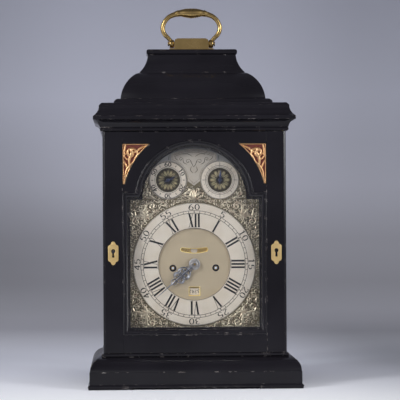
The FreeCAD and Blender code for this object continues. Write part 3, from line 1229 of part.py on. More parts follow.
def make_hammer():
    """Arbor between the plates, arm up to the bell and tail beside the lifting pins."""
    arm_y = (BELL_CENTRE_Y - 1.0, BELL_CENTRE_Y + 1.0)
    tail_y = (PIN_WHEEL_Y[1] + 0.6, PIN_WHEEL_Y[1] + 2.6)
    head_z = BELL_MOUTH_Z + 3.4
    head_x = -(BELL_R + 0.9)
    hx, hz = HAMMER
    hub = rod_y(2.4, hx, hz, arm_y[0] - 1, arm_y[1] + 1)
    arm = outline("xz", (hx - 1.5, hz), (head_x - 8.6, head_z + 1.6), (head_x - 5.6, head_z + 1.6), (hx + 1.5, hz))
    head = rod_x(3.4, sum(arm_y) / 2, head_z, head_x - 10, head_x)
    tail_end = (PIN_WHEEL[0] + 1.0, PIN_WHEEL[1] + PIN_RADIUS + 1.6)
    tail = outline("xz", (hx - 2.0, hz), (hx + 2.0, hz), (tail_end[0] + 1.2, tail_end[1]),
                   (tail_end[0] - 1.2, tail_end[1]))
    node("strike_hammer", fuse(hub, prism("xz", arm, *arm_y), head, prism("xz", tail, *tail_y),
                               *arbor(HAMMER, r=1.4)))


# ---------------------------------------------------------------- plates
def pivot_holes():
    """(place, radius) of every running hole that both plates share."""
    small = PIVOT_SMALL + PIVOT_PLAY
    return [(THIRD, small), (CONTRATE, small), (PIN_WHEEL, small), (HAMMER, small), (GOING_BARREL, small),
            (STRIKE_BARREL, small), ((0.0, VERGE_Z), 1.2 + PIVOT_PLAY)]


def make_plates():
    low, high = PLATE_Z
    shoulder = 12.0
    shape = outline("xz", (-PLATE_HALF, low), (-PLATE_HALF, high - shoulder), (-PLATE_HALF + shoulder, high),
                    (PLATE_HALF - shoulder, high), (PLATE_HALF, high - shoulder), (PLATE_HALF, low))
    front = prism("xz", shape, PLATE_FRONT, PLATE_INNER_F)
    back = prism("xz", shape, PLATE_INNER_B, PLATE_BACK)
    for at, r in pivot_holes():
        hole = bore_y(r, *at, PLATE_FRONT - 1, PLATE_BACK + 1)
        front = front.cut(hole)
        back = back.cut(hole)
    for at in (GOING, STRIKE):
        front = front.cut(bore_y(FUSEE_PIVOT_R + PIVOT_PLAY, *at, PLATE_FRONT - 1, PLATE_INNER_F + 1))
        back = back.cut(bore_y(PIVOT_SMALL + 0.6 + PIVOT_PLAY, *at, PLATE_INNER_B - 1, PLATE_BACK + 1))
    front = front.cut(bore_y(CANNON_R - 0.6 + PIVOT_PLAY, *CENTRE, PLATE_FRONT - 1, PLATE_INNER_F + 1))
    front = front.cut(bore_y(1.0 + PIVOT_PLAY, *MINUTE, PLATE_FRONT - 1, PLATE_INNER_F + 1))
    back = back.cut(bore_y(PIVOT_SMALL + PIVOT_PLAY, *CENTRE, PLATE_INNER_B - 1, PLATE_BACK + 1))
    node("front_plate", front)

    potence = box(-3.0, 3.0, CROWN_Y - 2.6, PLATE_INNER_B, *POTENCE_Z)
    potence = potence.cut(rod_z(0.6 + PIVOT_PLAY, 0, CROWN_Y, POTENCE_Z[0] - 1, POTENCE_Z[1] + 1, hole=True))
    nose = box(-3.0, 3.0, CROWN_Y - 2.6, PLATE_INNER_B, *NOSE_Z)
    nose = nose.cut(rod_z(1.0 + PIVOT_PLAY, 0, CROWN_Y, NOSE_Z[0] - 1, NOSE_Z[1] + 1, hole=True))
    post = box(-6, 6, PLATE_INNER_B, PLATE_BACK, high - 1, BELL_TOP_Z + 2.6)
    strap = box(-6, 6, BELL_CENTRE_Y - 6, PLATE_BACK, BELL_TOP_Z, BELL_TOP_Z + 2.6)
    stem = rod_z(2.9, 0, BELL_CENTRE_Y, BELL_TOP_Z - 2.6, BELL_TOP_Z + 1)
    button = rod_z(5.0, 0, BELL_CENTRE_Y, BELL_TOP_Z - 4.6, BELL_TOP_Z - BELL_WALL)
    node("back_plate", fuse(back, potence, nose, post, strap, stem, button))

    pillars = []
    for x, z in PILLARS:
        pillars.append(turned_y(x, z, [(0, PLATE_INNER_F), (PILLAR_R + 1.4, PLATE_INNER_F),
                                       (PILLAR_R + 1.4, PLATE_INNER_F + 3), (PILLAR_R - 0.8, PLATE_INNER_F + 4.6),
                                       (PILLAR_R - 0.8, PLATE_INNER_B - 4.6), (PILLAR_R + 1.4, PLATE_INNER_B - 3),
                                       (PILLAR_R + 1.4, PLATE_INNER_B), (0, PLATE_INNER_B)], 8))
    node("plate_pillars", group(*pillars))


def make_case_brasses():
    """Sockets for the four door pivots and the staple that the front lock's bolt holds."""
    staple = box(-LOCK_X - 3.0, -LOCK_X + 3.0, LOCK_Y[0] + 1.9, CASE_FRONT, LOCK_Z + 5.2, LOCK_Z + 11.8)
    eye = box(-LOCK_X - 4.0, -LOCK_X + 4.0, LOCK_Y[0] + 3.3, LOCK_Y[0] + 6.7, LOCK_Z + 4, LOCK_Z + 10.4)
    pieces = [staple.cut(eye)]
    for x, y, z, deep in ((FRONT_PIVOT_X, FRONT_PIVOT_Y, BASE_TOP, -SOCKET_DEEP),
                          (FRONT_PIVOT_X, FRONT_PIVOT_Y, CORNICE_BOTTOM, SOCKET_DEEP),
                          (REAR_PIVOT_X, REAR_PIVOT_Y, BASE_TOP, -SOCKET_DEEP),
                          (REAR_PIVOT_X, REAR_PIVOT_Y, REAR_DOOR_TOP + 0.5, SOCKET_DEEP)):
        z0, z1 = sorted((z, z + deep))
        tube = rod_z(SOCKET_R, x, y, z0, z1)
        pieces.append(tube.cut(rod_z(PIVOT_R + PIVOT_PLAY, x, y, z0 - 1, z1 + 1, hole=True)))
    node("case_brasses", group(*pieces))


def main():
    make_base()
    make_cornice()
    make_carcass()
    make_bell_top()
    make_handle()
    make_door_wood()
    make_frets()
    make_sight_moulding()
    make_escutcheons()
    make_front_lock()
    make_hinges()
    make_rear_door()
    make_dial()
    make_spandrels()
    make_arch_work()
    make_hour_hand()
    make_minute_hand()
    make_sub_hands()
    make_centre()
    make_motion_work()
    make_third()
    make_contrate()
    make_crown()
    make_fusees()
    make_barrels()
    make_pin_wheel()
    make_verge()
    make_bell()
    make_hammer()
    make_plates()
    make_case_brasses()
    os.makedirs("parts", exist_ok=True)
    for name, shape in NODES.items():
        shape.exportStep(f"parts/{name}.step")
        print(name, len(shape.Solids), round(shape.Volume), shape.isValid())


main()
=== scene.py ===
"""The looks of a bracket clock, built round its packed construction: case, door, dial, hands and handle."""
from contextlib import contextmanager
from math import atan2, ceil, cos, degrees, hypot, pi, radians, sin, sqrt

import bmesh
import bpy
import numpy as np
from bpy.props import FloatProperty, FloatVectorProperty, PointerProperty
from mathutils import Matrix, Vector


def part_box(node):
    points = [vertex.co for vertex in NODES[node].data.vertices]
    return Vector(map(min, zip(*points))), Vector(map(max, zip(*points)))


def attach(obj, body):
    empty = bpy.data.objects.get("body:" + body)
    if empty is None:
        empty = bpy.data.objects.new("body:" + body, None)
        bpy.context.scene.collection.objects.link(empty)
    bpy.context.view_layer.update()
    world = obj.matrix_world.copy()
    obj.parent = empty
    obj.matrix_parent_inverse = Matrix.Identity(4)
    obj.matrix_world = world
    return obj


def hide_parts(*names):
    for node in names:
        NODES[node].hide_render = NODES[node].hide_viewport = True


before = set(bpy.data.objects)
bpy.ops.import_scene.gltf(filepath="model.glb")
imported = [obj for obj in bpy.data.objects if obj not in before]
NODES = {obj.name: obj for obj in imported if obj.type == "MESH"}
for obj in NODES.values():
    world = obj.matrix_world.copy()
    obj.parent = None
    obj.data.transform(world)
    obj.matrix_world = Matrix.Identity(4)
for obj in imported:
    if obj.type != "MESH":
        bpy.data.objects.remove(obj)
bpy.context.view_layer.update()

bl_info = {
    "name": "Bracket clock looks",
    "version": (1, 0, 0),
    "blender": (4, 5, 0),
    "location": "View3D > Sidebar > Clock",
    "description": "Builds the finished surfaces of a bracket clock on its packed frame",
    "category": "Object",
}

MM = 0.001


def box_mm(node):
    """Lowest and highest corner of a node, in millimetres."""
    low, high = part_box(node)
    return low / MM, high / MM


# ------------------------------------------------------------------ places, in millimetres
DOOR_FRONT = box_mm("door_stiles")[0].y
GLASS_FRONT = box_mm("door_glass")[0].y
OPENING_HALF = box_mm("door_sight_moulding")[1].x
OPENING_LOW = box_mm("door_sight_moulding")[0].z
SHOULDER_Z = box_mm("door_head")[0].z
SIGHT = 10.0                      # width of the moulding round the glass
ARCH_Z = SHOULDER_Z - SIGHT
ARCH_R = box_mm("door_sight_moulding")[1].z - ARCH_Z
BAND_R = 93.5                     # outside of the arched band that the frets lie against
FRET_LOW, FRET_HIGH = box_mm("corner_frets")
SILK_LOW = box_mm("fret_silks")[0]
ESCUTCHEON_LOW, ESCUTCHEON_HIGH = box_mm("escutcheons")
BLOCK_LOW, BLOCK_HIGH = box_mm("handle_block")
HANDLE_Y = (BLOCK_LOW.y + BLOCK_HIGH.y) / 2

DIAL_LOW, DIAL_HIGH = box_mm("dial_plate")
DIAL_FRONT = DIAL_LOW.y
DIAL_BACK = DIAL_FRONT + 2.5
DIAL_SHOULDER = 250.7
RING_LOW, RING_HIGH = box_mm("chapter_ring")
RING_FRONT = RING_LOW.y
RING_R = RING_HIGH.x
RING_INNER = 47.4
DIAL_Z = (RING_LOW.z + RING_HIGH.z) / 2
HOUR_FIGURE_R = 57.8
MINUTE_TRACK = (67.6, 70.9)
MINUTE_FIGURE_R = 75.6
WINDING_X, WINDING_Z = 28.4, 156.5
BOB_SLOT = (175.7, 183.9)
DATE_Z = 125.6
SUB_LOW, SUB_HIGH = box_mm("subsidiary_dials")
SUB_R = (SUB_HIGH.z - SUB_LOW.z) / 2
SUB_X = SUB_HIGH.x - SUB_R
SUB_Z = (SUB_LOW.z + SUB_HIGH.z) / 2
SUB_FRONT = SUB_LOW.y
SUB_INNER = 16.2
PLAQUE_LOW, PLAQUE_HIGH = box_mm("arch_plaque")
HAND_ANGLE = 229.0                # clockwise from XII, for the hour and minute hands
DATE_SHOWN = 24
INK_LIFT, INK_RISE = 0.02, 0.03   # wax stands this far off its face, and is this thick


# ------------------------------------------------------------------ mesh making
def finished(name, mesh, finish, body, sharp=35.0):
    """Turns a mesh in millimetres into a piece of the clock that rides on a body."""
    mesh.transform(Matrix.Scale(MM, 4))
    mesh.validate()
    mesh.shade_smooth()
    mesh.set_sharp_from_angle(angle=radians(sharp))
    mesh.materials.clear()
    mesh.materials.append(FINISHES[finish])
    piece = bpy.data.objects.new(name, mesh)
    bpy.context.scene.collection.objects.link(piece)
    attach(piece, body)
    return piece


def mesh_of(points, faces):
    mesh = bpy.data.meshes.new("work")
    mesh.from_pydata([tuple(p) for p in points], [], faces)
    mesh.update()
    return mesh


@contextmanager
def edited(mesh):
    """A mesh opened for editing, and written back at the end."""
    work = bmesh.new()
    work.from_mesh(mesh)
    yield work
    work.to_mesh(mesh)
    work.free()


def joined(*meshes, outwards=True):
    """One mesh from several, which are used up. Its faces are turned outwards unless it is told not to."""
    work = bmesh.new()
    for mesh in meshes:
        work.from_mesh(mesh)
        bpy.data.meshes.remove(mesh)
    out = bpy.data.meshes.new("work")
    if outwards:
        bmesh.ops.recalc_face_normals(work, faces=work.faces)
    work.to_mesh(out)
    work.free()
    return out


def mirrored(mesh, across=(-1, 1, 1), outwards=True):
    """The mesh and its mirror image, across the clock's middle unless told otherwise."""
    other = mesh.copy()
    other.transform(Matrix.Diagonal((*across, 1)))
    other.flip_normals()
    return joined(mesh, other, outwards=outwards)


def both_sides(lines):
    """Strokes and their mirror images across the clock's middle."""
    return lines + [[(-x, z, w) for x, z, w in line] for line in lines]


def band_faces(rows, count, closed=False):
    """Faces between closed rows of points, each `count` points long."""
    out = []
    for i in range(rows if closed else rows - 1):
        near, far = i * count, (i + 1) % rows * count
        for k in range(count):
            after = (k + 1) % count
            out.append((near + k, near + after, far + after, far + k))
    return out


def turned(profile, centre, axis="y", count=96, closed=False):
    """A turned piece: profile points are (radius, distance along the axis, which is x or y)."""
    cx, cy, cz = centre
    points = []
    for r, along in profile:
        for k in range(count):
            a = 2 * pi * k / count
            u, v = r * cos(a), r * sin(a)
            points.append((cx + u, cy + along, cz + v) if axis == "y" else (cx + along, cy + u, cz + v))
    mesh = mesh_of(points, band_faces(len(profile), count, closed))
    with edited(mesh) as work:
        bmesh.ops.remove_doubles(work, verts=work.verts, dist=0.0005)
        bmesh.ops.dissolve_degenerate(work, edges=work.edges, dist=0.0002)
        bmesh.ops.recalc_face_normals(work, faces=work.faces)
    return mesh


def arc(cx, cz, r, start, end, count, rz=None):
    """Points on an arc, angles in degrees from +X towards +Z."""
    rz = r if rz is None else rz
    angles = [radians(start + (end - start) * k / count) for k in range(count + 1)]
    return [(cx + r * cos(a), cz + rz * sin(a)) for a in angles]


def circle(cx, cz, r, count=64):
    return arc(cx, cz, r, 0, 360, count)[:-1]


def smooth_line(points, per_span=8):
    """A smooth line through given points of any number of values."""
    p = np.array([points[0], *points, points[-1]], float)
    out = []
    for i in range(1, len(p) - 2):
        for k in range(per_span):
            t = k / per_span
            out.append(0.5 * (2 * p[i] + (p[i + 1] - p[i - 1]) * t
                              + (2 * p[i - 1] - 5 * p[i] + 4 * p[i + 1] - p[i + 2]) * t * t
                              + (3 * p[i] - p[i - 1] - 3 * p[i + 1] + p[i + 2]) * t ** 3))
    out.append(p[-2])
    return [tuple(v) for v in out]


def scroll(cx, cz, r0, r1, start, end, w0, w1, count=28):
    """A spiral stroke (x, z, width) that winds from radius r0 to r1."""
    out = []
    for k in range(count + 1):
        t = k / count
        a = radians(start + (end - start) * t)
        r = r0 + (r1 - r0) * t
        out.append((cx + r * cos(a), cz + r * sin(a), w0 + (w1 - w0) * t))
    return out


def sheet_metal(loops, y_front, y_back, bevel=0.0):
    """A flat piece in the xz plane from closed loops: the outline first, then its holes."""
    curve = bpy.data.curves.new("work", "CURVE")
    curve.dimensions = "2D"
    curve.fill_mode = "BOTH"
    thick = y_back - y_front
    curve.extrude = thick / 2 - bevel
    curve.bevel_depth = bevel
    curve.bevel_resolution = 1
    curve.offset = -bevel
    for loop in loops:
        spline = curve.splines.new("POLY")
        spline.points.add(len(loop) - 1)
        for point, (x, z) in zip(spline.points, loop):
            point.co = (x, z, 0, 1)
        spline.use_cyclic_u = True
    holder = bpy.data.objects.new("work", curve)
    bpy.context.scene.collection.objects.link(holder)
    depsgraph = bpy.context.evaluated_depsgraph_get()
    mesh = bpy.data.meshes.new_from_object(holder.evaluated_get(depsgraph))
    bpy.data.objects.remove(holder)
    bpy.data.curves.remove(curve)
    mesh.transform(Matrix.Translation((0, (y_front + y_back) / 2, 0)) @ Matrix.Rotation(pi / 2, 4, "X"))
    with edited(mesh) as work:
        bmesh.ops.remove_doubles(work, verts=work.verts, dist=0.001)
        bmesh.ops.recalc_face_normals(work, faces=work.faces)
    return mesh


def strokes(lines, y_back, rise, crown=0.6):
    """Raised bands along lines of (x, z, width), rounded over by `crown` of their rise, or flat if 0."""
    points, faces = [], []
    across = [(-1.0, 0.0), (-0.92, 0.62), (-0.5, 0.92), (0.0, 1.0), (0.5, 0.92), (0.92, 0.62), (1.0, 0.0)]
    if not crown:
        across = [(-1.0, 1.0), (1.0, 1.0)]
    row = len(across)
    for line in lines:
        base = len(points)
        for i, (x, z, width) in enumerate(line):
            before, after = line[max(i - 1, 0)], line[min(i + 1, len(line) - 1)]
            dx, dz = after[0] - before[0], after[1] - before[1]
            length = hypot(dx, dz) or 1.0
            nx, nz = -dz / length, dx / length
            lift = rise * (1.0 if not crown else 1 - crown + crown * min(1.0, width / max(rise, 0.01)))
            for u, h in across:
                points.append((x + nx * u * width / 2, y_back - lift * h, z + nz * u * width / 2))
        last = base + (len(line) - 1) * row
        for start in range(base, last, row):
            for a in range(start, start + row - 1):
                faces.append((a, a + 1, a + 1 + row, a + row))
        if crown:
            faces.append(tuple(range(base, base + row)))
            faces.append(tuple(reversed(range(last, last + row))))
    mesh = mesh_of(points, faces)
    if crown:
        return joined(mesh)
    with edited(mesh) as work:
        for face in work.faces:
            face.normal_update()
            if face.normal.y > 0:
                face.normal_flip()
    return mesh


def waxed(name, lines, y_face, body="case"):
    """Flat strokes of black wax on a face."""
    finished(name, strokes(lines, y_face - INK_LIFT, INK_RISE, 0), "wax", body)


def with_relief(mesh, levels):
    """Stores how high each point of a relief stands, for the finishes that darken its hollows."""
    mesh.attributes.new("relief", "FLOAT", "POINT").data.foreach_set("value", levels)
    return mesh


def carving(balls, low, high, step, y_face, sink=0.15):
    """A cast relief: the surface that lies over a heap of balls (x, z, radius, lift) on a plate face.
    It ends where it sinks into the plate, so its edge is the line where the two meet."""
    xs = np.arange(low[0], high[0] + step, step)
    zs = np.arange(low[1], high[1] + step, step)
    grid_x, grid_z = np.meshgrid(xs, zs)
    height = np.full(grid_x.shape, -1.0)
    for x, z, r, lift in balls:
        i0, i1 = np.searchsorted(xs, (x - r - step, x + r + step))
        j0, j1 = np.searchsorted(zs, (z - r - step, z + r + step))
        part = (slice(j0, j1), slice(i0, i1))
        square = ((grid_x[part] - x) ** 2 + (grid_z[part] - z) ** 2) / (r * r)
        dome = np.where(square < 1, np.sqrt(np.maximum(1 - square, 0)) * lift, -0.6 * np.sqrt(square))
        height[part] = np.maximum(height[part], dome)
    keep = height > -sink
    cell = keep[:-1, :-1] | keep[1:, :-1] | keep[:-1, 1:] | keep[1:, 1:]
    used = np.zeros_like(keep)
    for rows in (slice(None, -1), slice(1, None)):
        for columns in (slice(None, -1), slice(1, None)):
            used[rows, columns] |= cell
    index = np.full(height.shape, -1)
    index[used] = np.arange(used.sum())
    clipped = np.maximum(height, -sink - 0.1)
    points = np.column_stack((grid_x[used], y_face - clipped[used], grid_z[used]))
    j, i = np.nonzero(cell)
    faces = np.column_stack((index[j, i], index[j, i + 1], index[j + 1, i + 1], index[j + 1, i]))
    mesh = mesh_of(points.tolist(), faces.tolist())
    return with_relief(mesh, np.clip(clipped[used], 0, 3).astype(np.float32))


def balls_along(line, lift=1.0, gap=0.35):
    """Balls placed closely along a stroke (x, z, width)."""
    out = []
    for (x0, z0, w0), (x1, z1, w1) in zip(line, line[1:]):
        length = hypot(x1 - x0, z1 - z0)
        count = max(1, ceil(length / (gap * max(0.4, min(w0, w1) / 2))))
        for k in range(count):
            t = k / count
            r = (w0 + (w1 - w0) * t) / 2
            out.append((x0 + (x1 - x0) * t, z0 + (z1 - z0) * t, r, r * lift))
    return out


def leaf(x, z, angle, length, width, bend=0.0, count=12):
    """A leaf stroke: narrow at its foot, full in the middle and drawn to a point."""
    out = []
    for k in range(count + 1):
        t = k / count
        a = radians(angle + bend * t)
        full = width * (0.35 + 0.65 * sin(pi * min(1.0, 0.12 + t * 0.95)))
        x += length / count * cos(a)
        z += length / count * sin(a)
        out.append((x, z, max(0.35, full)))
    return out


# ------------------------------------------------------------------ numerals, in thick and thin strokes
FIGURES = (  # the strokes of 0 to 9, each in a space 0.6 wide and 1 high
    [arc(0.3, 0.5, 0.25, 90, 450, 24, 0.47)],
    [[(0.12, 0.8), (0.32, 0.97)], [(0.32, 1.0), (0.32, 0.0)], [(0.14, 0.03), (0.5, 0.03)]],
    [arc(0.3, 0.72, 0.23, 165, -35, 12, 0.25) + [(0.05, 0.04)], [(0.05, 0.05), (0.57, 0.05)]],
    [arc(0.28, 0.75, 0.21, 150, -90, 12, 0.22), arc(0.28, 0.27, 0.26, 90, -150, 12, 0.26)],
    [[(0.42, 1.0), (0.03, 0.3)], [(0.03, 0.3), (0.6, 0.3)], [(0.42, 1.0), (0.42, 0.0)]],
    [[(0.14, 0.95), (0.54, 0.95)], [(0.14, 0.95), (0.1, 0.52)], arc(0.28, 0.3, 0.26, 135, -150, 14, 0.29)],
    [arc(0.3, 0.29, 0.25, 0, 360, 20, 0.27), arc(0.52, 0.3, 0.47, 180, 100, 8, 0.68)],
    [[(0.05, 0.95), (0.57, 0.95)], [(0.57, 0.95), (0.2, 0.0)]],
    [arc(0.3, 0.74, 0.2, 90, 450, 18, 0.22), arc(0.3, 0.26, 0.25, 90, 450, 20, 0.25)],
    [arc(0.3, 0.71, 0.25, 0, 360, 20, 0.27), arc(0.08, 0.7, 0.47, 0, -80, 8, 0.68)],
)
ROMAN_WIDTH = {"I": 0.25, "V": 0.44, "X": 0.46}
ROMAN_SPREAD = {"V": 0.15, "X": 0.125}


def inked(path, thick, thin):
    """A written stroke: thick where it runs up and down, thin where it runs across."""
    out = []
    for i, (x, y) in enumerate(path):
        before, after = path[max(i - 1, 0)], path[min(i + 1, len(path) - 1)]
        dx, dy = after[0] - before[0], after[1] - before[1]
        upright = abs(dy) / (hypot(dx, dy) or 1.0)
        out.append((x, y, thin + (thick - thin) * upright ** 1.5))
    return out


def number_strokes(value, height, thick, thin, wide=1.0):
    """A whole number centred on the origin, standing upright."""
    digits = [int(c) for c in str(value)]
    pitch = 0.74
    left = -(pitch * (len(digits) - 1) + 0.6) / 2
    out = []
    for place, digit in enumerate(digits):
        for path in FIGURES[digit]:
            moved = [((left + place * pitch + x) * height * wide, (y - 0.5) * height) for x, y in path]
            out.append(inked(moved, thick, thin))
    return out


def roman_strokes(text, height, thick, thin):
    """A Roman numeral centred on the origin: thick and thin strokes with fine serifs."""
    x = -sum(ROMAN_WIDTH[c] for c in text) * height / 2
    out = []
    top, low = height / 2, -height / 2
    for letter in text:
        step = ROMAN_WIDTH[letter] * height
        mid = x + step / 2
        spread = ROMAN_SPREAD.get(letter, 0) * height
        serif = thick * 0.75
        if letter == "I":
            out.append([(mid, low, thick), (mid, top, thick)])
            feet = [(mid, top), (mid, low)]
        elif letter == "V":
            out.append([(mid - spread, top, thick), (mid, low, thick * 0.9)])
            out.append([(mid + spread, top, thin), (mid, low, thin)])
            feet = [(mid - spread, top), (mid + spread, top)]
        else:
            out.append([(mid - spread, top, thick), (mid + spread, low, thick)])
            out.append([(mid + spread, top, thin), (mid - spread, low, thin)])
            feet = [(mid - spread, top), (mid + spread, top), (mid - spread, low), (mid + spread, low)]
        for fx, fz in feet:
            out.append([(fx - serif, fz, thin * 0.8), (fx + serif, fz, thin * 0.8)])
        x += step
    return out


def set_round(lines, radius, clockwise, cx, cz):
    """Strokes drawn upright at the origin, set on a dial with their feet to its centre."""
    a = radians(clockwise)
    out = []
    for line in lines:
        placed = []
        for x, y, width in line:
            r = radius + y
            placed.append((cx + r * sin(a) + x * cos(a), cz + r * cos(a) - x * sin(a), width))
        out.append(placed)
    return out


def spoke(cx, cz, clockwise, *stations):
    """A stroke that runs out from a dial's centre: stations are (radius, width)."""
    a = radians(clockwise)
    return [(cx + r * sin(a), cz + r * cos(a), width) for r, width in stations]


def ring_line(cx, cz, r, width, count=144):
    return [(x, z, width) for x, z in arc(cx, cz, r, 0, 360, count)]


# ------------------------------------------------------------------ material making
def linear(red, green, blue):
    """A colour written as it looks on a screen, 0 to 255, turned to scene values."""
    out = []
    for value in (red, green, blue):
        value /= 255
        out.append(value / 12.92 if value <= 0.04045 else ((value + 0.055) / 1.055) ** 2.4)
    return (*out, 1.0)


def toned(colour, by):
    """A colour made lighter or darker."""
    return tuple(min(1.0, by * c) for c in colour[:3]) + (1,)


class Wiring:
    """A node tree being wired, with short ways to add and join nodes."""

    def __init__(self, tree):
        self.tree = tree

    def put(self, value, socket):
        """Joins an output to a socket, or sets the socket to a plain value."""
        if isinstance(value, bpy.types.NodeSocket):
            self.tree.links.new(value, socket)
        else:
            socket.default_value = value

    def node(self, kind, **settings):
        made = self.tree.nodes.new(kind)
        for key, value in settings.items():
            if hasattr(made, key):
                setattr(made, key, value)
            else:
                self.put(value, made.inputs[key.replace("_", " ")])
        return made

    def place(self):
        return self.node("ShaderNodeTexCoord").outputs["Object"]

    def split(self, vector):
        """The x, y and z of a vector."""
        return self.node("ShaderNodeSeparateXYZ", Vector=vector).outputs

    def noise(self, scale, detail=4.0, rough=0.55, stretch=(1, 1, 1)):
        where = self.node("ShaderNodeMapping", Vector=self.place(), Scale=stretch)
        made = self.node("ShaderNodeTexNoise", Vector=where.outputs["Vector"], Scale=scale, Detail=detail,
                         Roughness=rough)
        return made.outputs["Fac"]

    def spread(self, value, start, end, low=0.0, high=1.0, **settings):
        """A value spread from low to high as it goes from start to end."""
        made = self.node("ShaderNodeMapRange", Value=value, From_Min=start, From_Max=end, To_Min=low,
                         To_Max=high, **settings)
        return made.outputs["Result"]

    def ramp(self, value, *stops):
        made = self.node("ShaderNodeValToRGB", Fac=value)
        elements = made.color_ramp.elements
        while len(elements) < len(stops):
            elements.new(0.5)
        for element, (at, colour) in zip(elements, stops):
            element.position = at
            element.color = colour if hasattr(colour, "__len__") else (colour, colour, colour, 1)
        return made.outputs["Color"]

    def math(self, what, first, second=None, clamp=False):
        made = self.node("ShaderNodeMath", operation=what, use_clamp=clamp)
        self.put(first, made.inputs[0])
        if second is not None:
            self.put(second, made.inputs[1])
        return made.outputs[0]

    def product(self, *values):
        out = values[0]
        for value in values[1:]:
            out = self.math("MULTIPLY", out, value)
        return out

    def mix(self, mask, first, second, blend="MIX"):
        made = self.node("ShaderNodeMix", data_type="RGBA", blend_type=blend)
        for place, value in ((0, mask), (6, first), (7, second)):
            self.put(value, made.inputs[place])
        return made.outputs[2]

    def bump(self, height, strength=0.2, distance=0.0002, **below):
        made = self.node("ShaderNodeBump", Height=height, Strength=strength, Distance=distance, **below)
        return made.outputs["Normal"]

    def group(self, name, **values):
        return self.node("ShaderNodeGroup", node_tree=GROUPS[name], **values).outputs


class Finish(Wiring):
    """A material being wired."""

    def __init__(self, name):
        self.material = bpy.data.materials.new(name)
        self.material.use_nodes = True
        super().__init__(self.material.node_tree)
        self.shader = self.tree.nodes["Principled BSDF"]

    def shade(self, **values):
        """Sets or joins the shader's sockets, and gives back the material."""
        for key, value in values.items():
            self.put(value, self.shader.inputs[key.replace("_", " ")])
        return self.material

    def cleared(self, mask, tint=(1, 1, 1, 1)):
        """Makes the material transparent where the mask is 1, and gives it back."""
        both = self.node("ShaderNodeMixShader")
        clear = self.node("ShaderNodeBsdfTransparent", Color=tint)
        for socket, value in zip(both.inputs, (mask, self.shader.outputs[0], clear.outputs[0])):
            self.put(value, socket)
        self.put(both.outputs[0], self.tree.nodes["Material Output"].inputs["Surface"])
        return self.material


class Group(Wiring):
    """A node group being wired. Each of its inputs is given as (default, lowest, highest)."""

    def __init__(self, name, **inputs):
        super().__init__(bpy.data.node_groups.new(name, "ShaderNodeTree"))
        for label, (default, low, high) in inputs.items():
            socket = self.tree.interface.new_socket(label, in_out="INPUT", socket_type="NodeSocketFloat")
            socket.default_value = default
            socket.min_value = low
            socket.max_value = high
        self.given = self.node("NodeGroupInput").outputs

    def gives(self, **outputs):
        """Adds the outputs, and gives back the tree."""
        for label in outputs:
            self.tree.interface.new_socket(label, in_out="OUTPUT", socket_type="NodeSocketFloat")
        self.node("NodeGroupOutput", **outputs)
        return self.tree


def edge_wear_group():
    """Where a piece's edges are rubbed: found by comparing the normal with a rounded one."""
    g = Group("Edge wear", Reach=(0.001, 0.0, 0.01), Amount=(0.5, 0.0, 1.0), Scale=(120.0, 1.0, 2000.0))
    rounded = g.node("ShaderNodeBevel", samples=4, Radius=g.given["Reach"])
    dot = g.node("ShaderNodeVectorMath", operation="DOT_PRODUCT")
    g.put(rounded.outputs[0], dot.inputs[0])
    g.put(g.node("ShaderNodeNewGeometry").outputs["Normal"], dot.inputs[1])
    edge = g.spread(dot.outputs["Value"], 0.985, 0.86)
    start = g.spread(g.given["Amount"], 0.0, 1.0, 0.74, 0.38)
    rubbed = g.math("SUBTRACT", g.noise(g.given["Scale"], 6.0, 0.62), start)
    return g.gives(Mask=g.math("MULTIPLY", g.math("MULTIPLY", rubbed, 14.0, True), edge), Edge=edge)


def tarnish_group():
    """Cloudy age on metal, with finer specks in it."""
    g = Group("Tarnish", Scale=(60.0, 1.0, 2000.0), Amount=(0.5, 0.0, 1.0))
    cloud = g.spread(g.noise(g.given["Scale"], 5.0, 0.5), 0.38, 0.68)
    specks = g.noise(g.math("MULTIPLY", g.given["Scale"], 14.0), 3.0, 0.5)
    return g.gives(Cloud=g.math("MULTIPLY", cloud, g.given["Amount"]), Specks=specks)


def scratch_group():
    """Fine straight marks left by rubbing or graining, one way across the work."""
    g = Group("Fine scratches", Scale=(400.0, 1.0, 5000.0), Length=(30.0, 1.0, 200.0))
    x, y, z = g.split(g.place())
    drawn_out = g.node("ShaderNodeCombineXYZ", X=g.math("DIVIDE", x, g.given["Length"]), Y=y, Z=z)
    marks = g.node("ShaderNodeTexNoise", Vector=drawn_out.outputs[0], Scale=g.given["Scale"], Detail=2.0)
    return g.gives(Height=marks.outputs["Fac"])


GROUPS = {}
FINISHES = {}


def ebonised_finish(name, colours, shine):
    """Black varnish over pear wood, rubbed through here and there on the edges: the chips run from brown wood
    to a pale grey that is a painted edge highlight.
    """
    f = Finish(name)
    rubbed = f.group("wear", Reach=0.0012, Amount=0.5, Scale=110.0)["Mask"]
    black = f.ramp(f.noise(9.0, 5.0), (0.3, toned(colours.varnish, 0.7)), (0.7, toned(colours.varnish, 1.35)))
    # worn chips on the edges: brown wood, and a pale grey end that is a painted edge highlight
    bare = f.ramp(f.noise(300.0), (0.3, linear(104, 92, 84)), (0.75, linear(196, 190, 186)))
    smear = f.ramp(f.noise(14.0, 4.0), (0.3, 0.13), (0.75, 0.25))
    fine = f.bump(f.noise(900.0, 3.0), 0.06, 0.00005)
    grain = f.noise(26.0, 3.0, 0.5, (1, 1, 0.04))
    return f.shade(Base_Color=f.mix(rubbed, black, bare),
                   Roughness=f.mix(rubbed, smear, (0.65, 0.65, 0.65, 1)),
                   Normal=f.bump(grain, 0.09, 0.0004, Normal=fine),
                   Specular_IOR_Level=0.25, Coat_Roughness=0.05,
                   Coat_Weight=f.ramp(rubbed, (0.0, shine), (0.4, 0.0)))


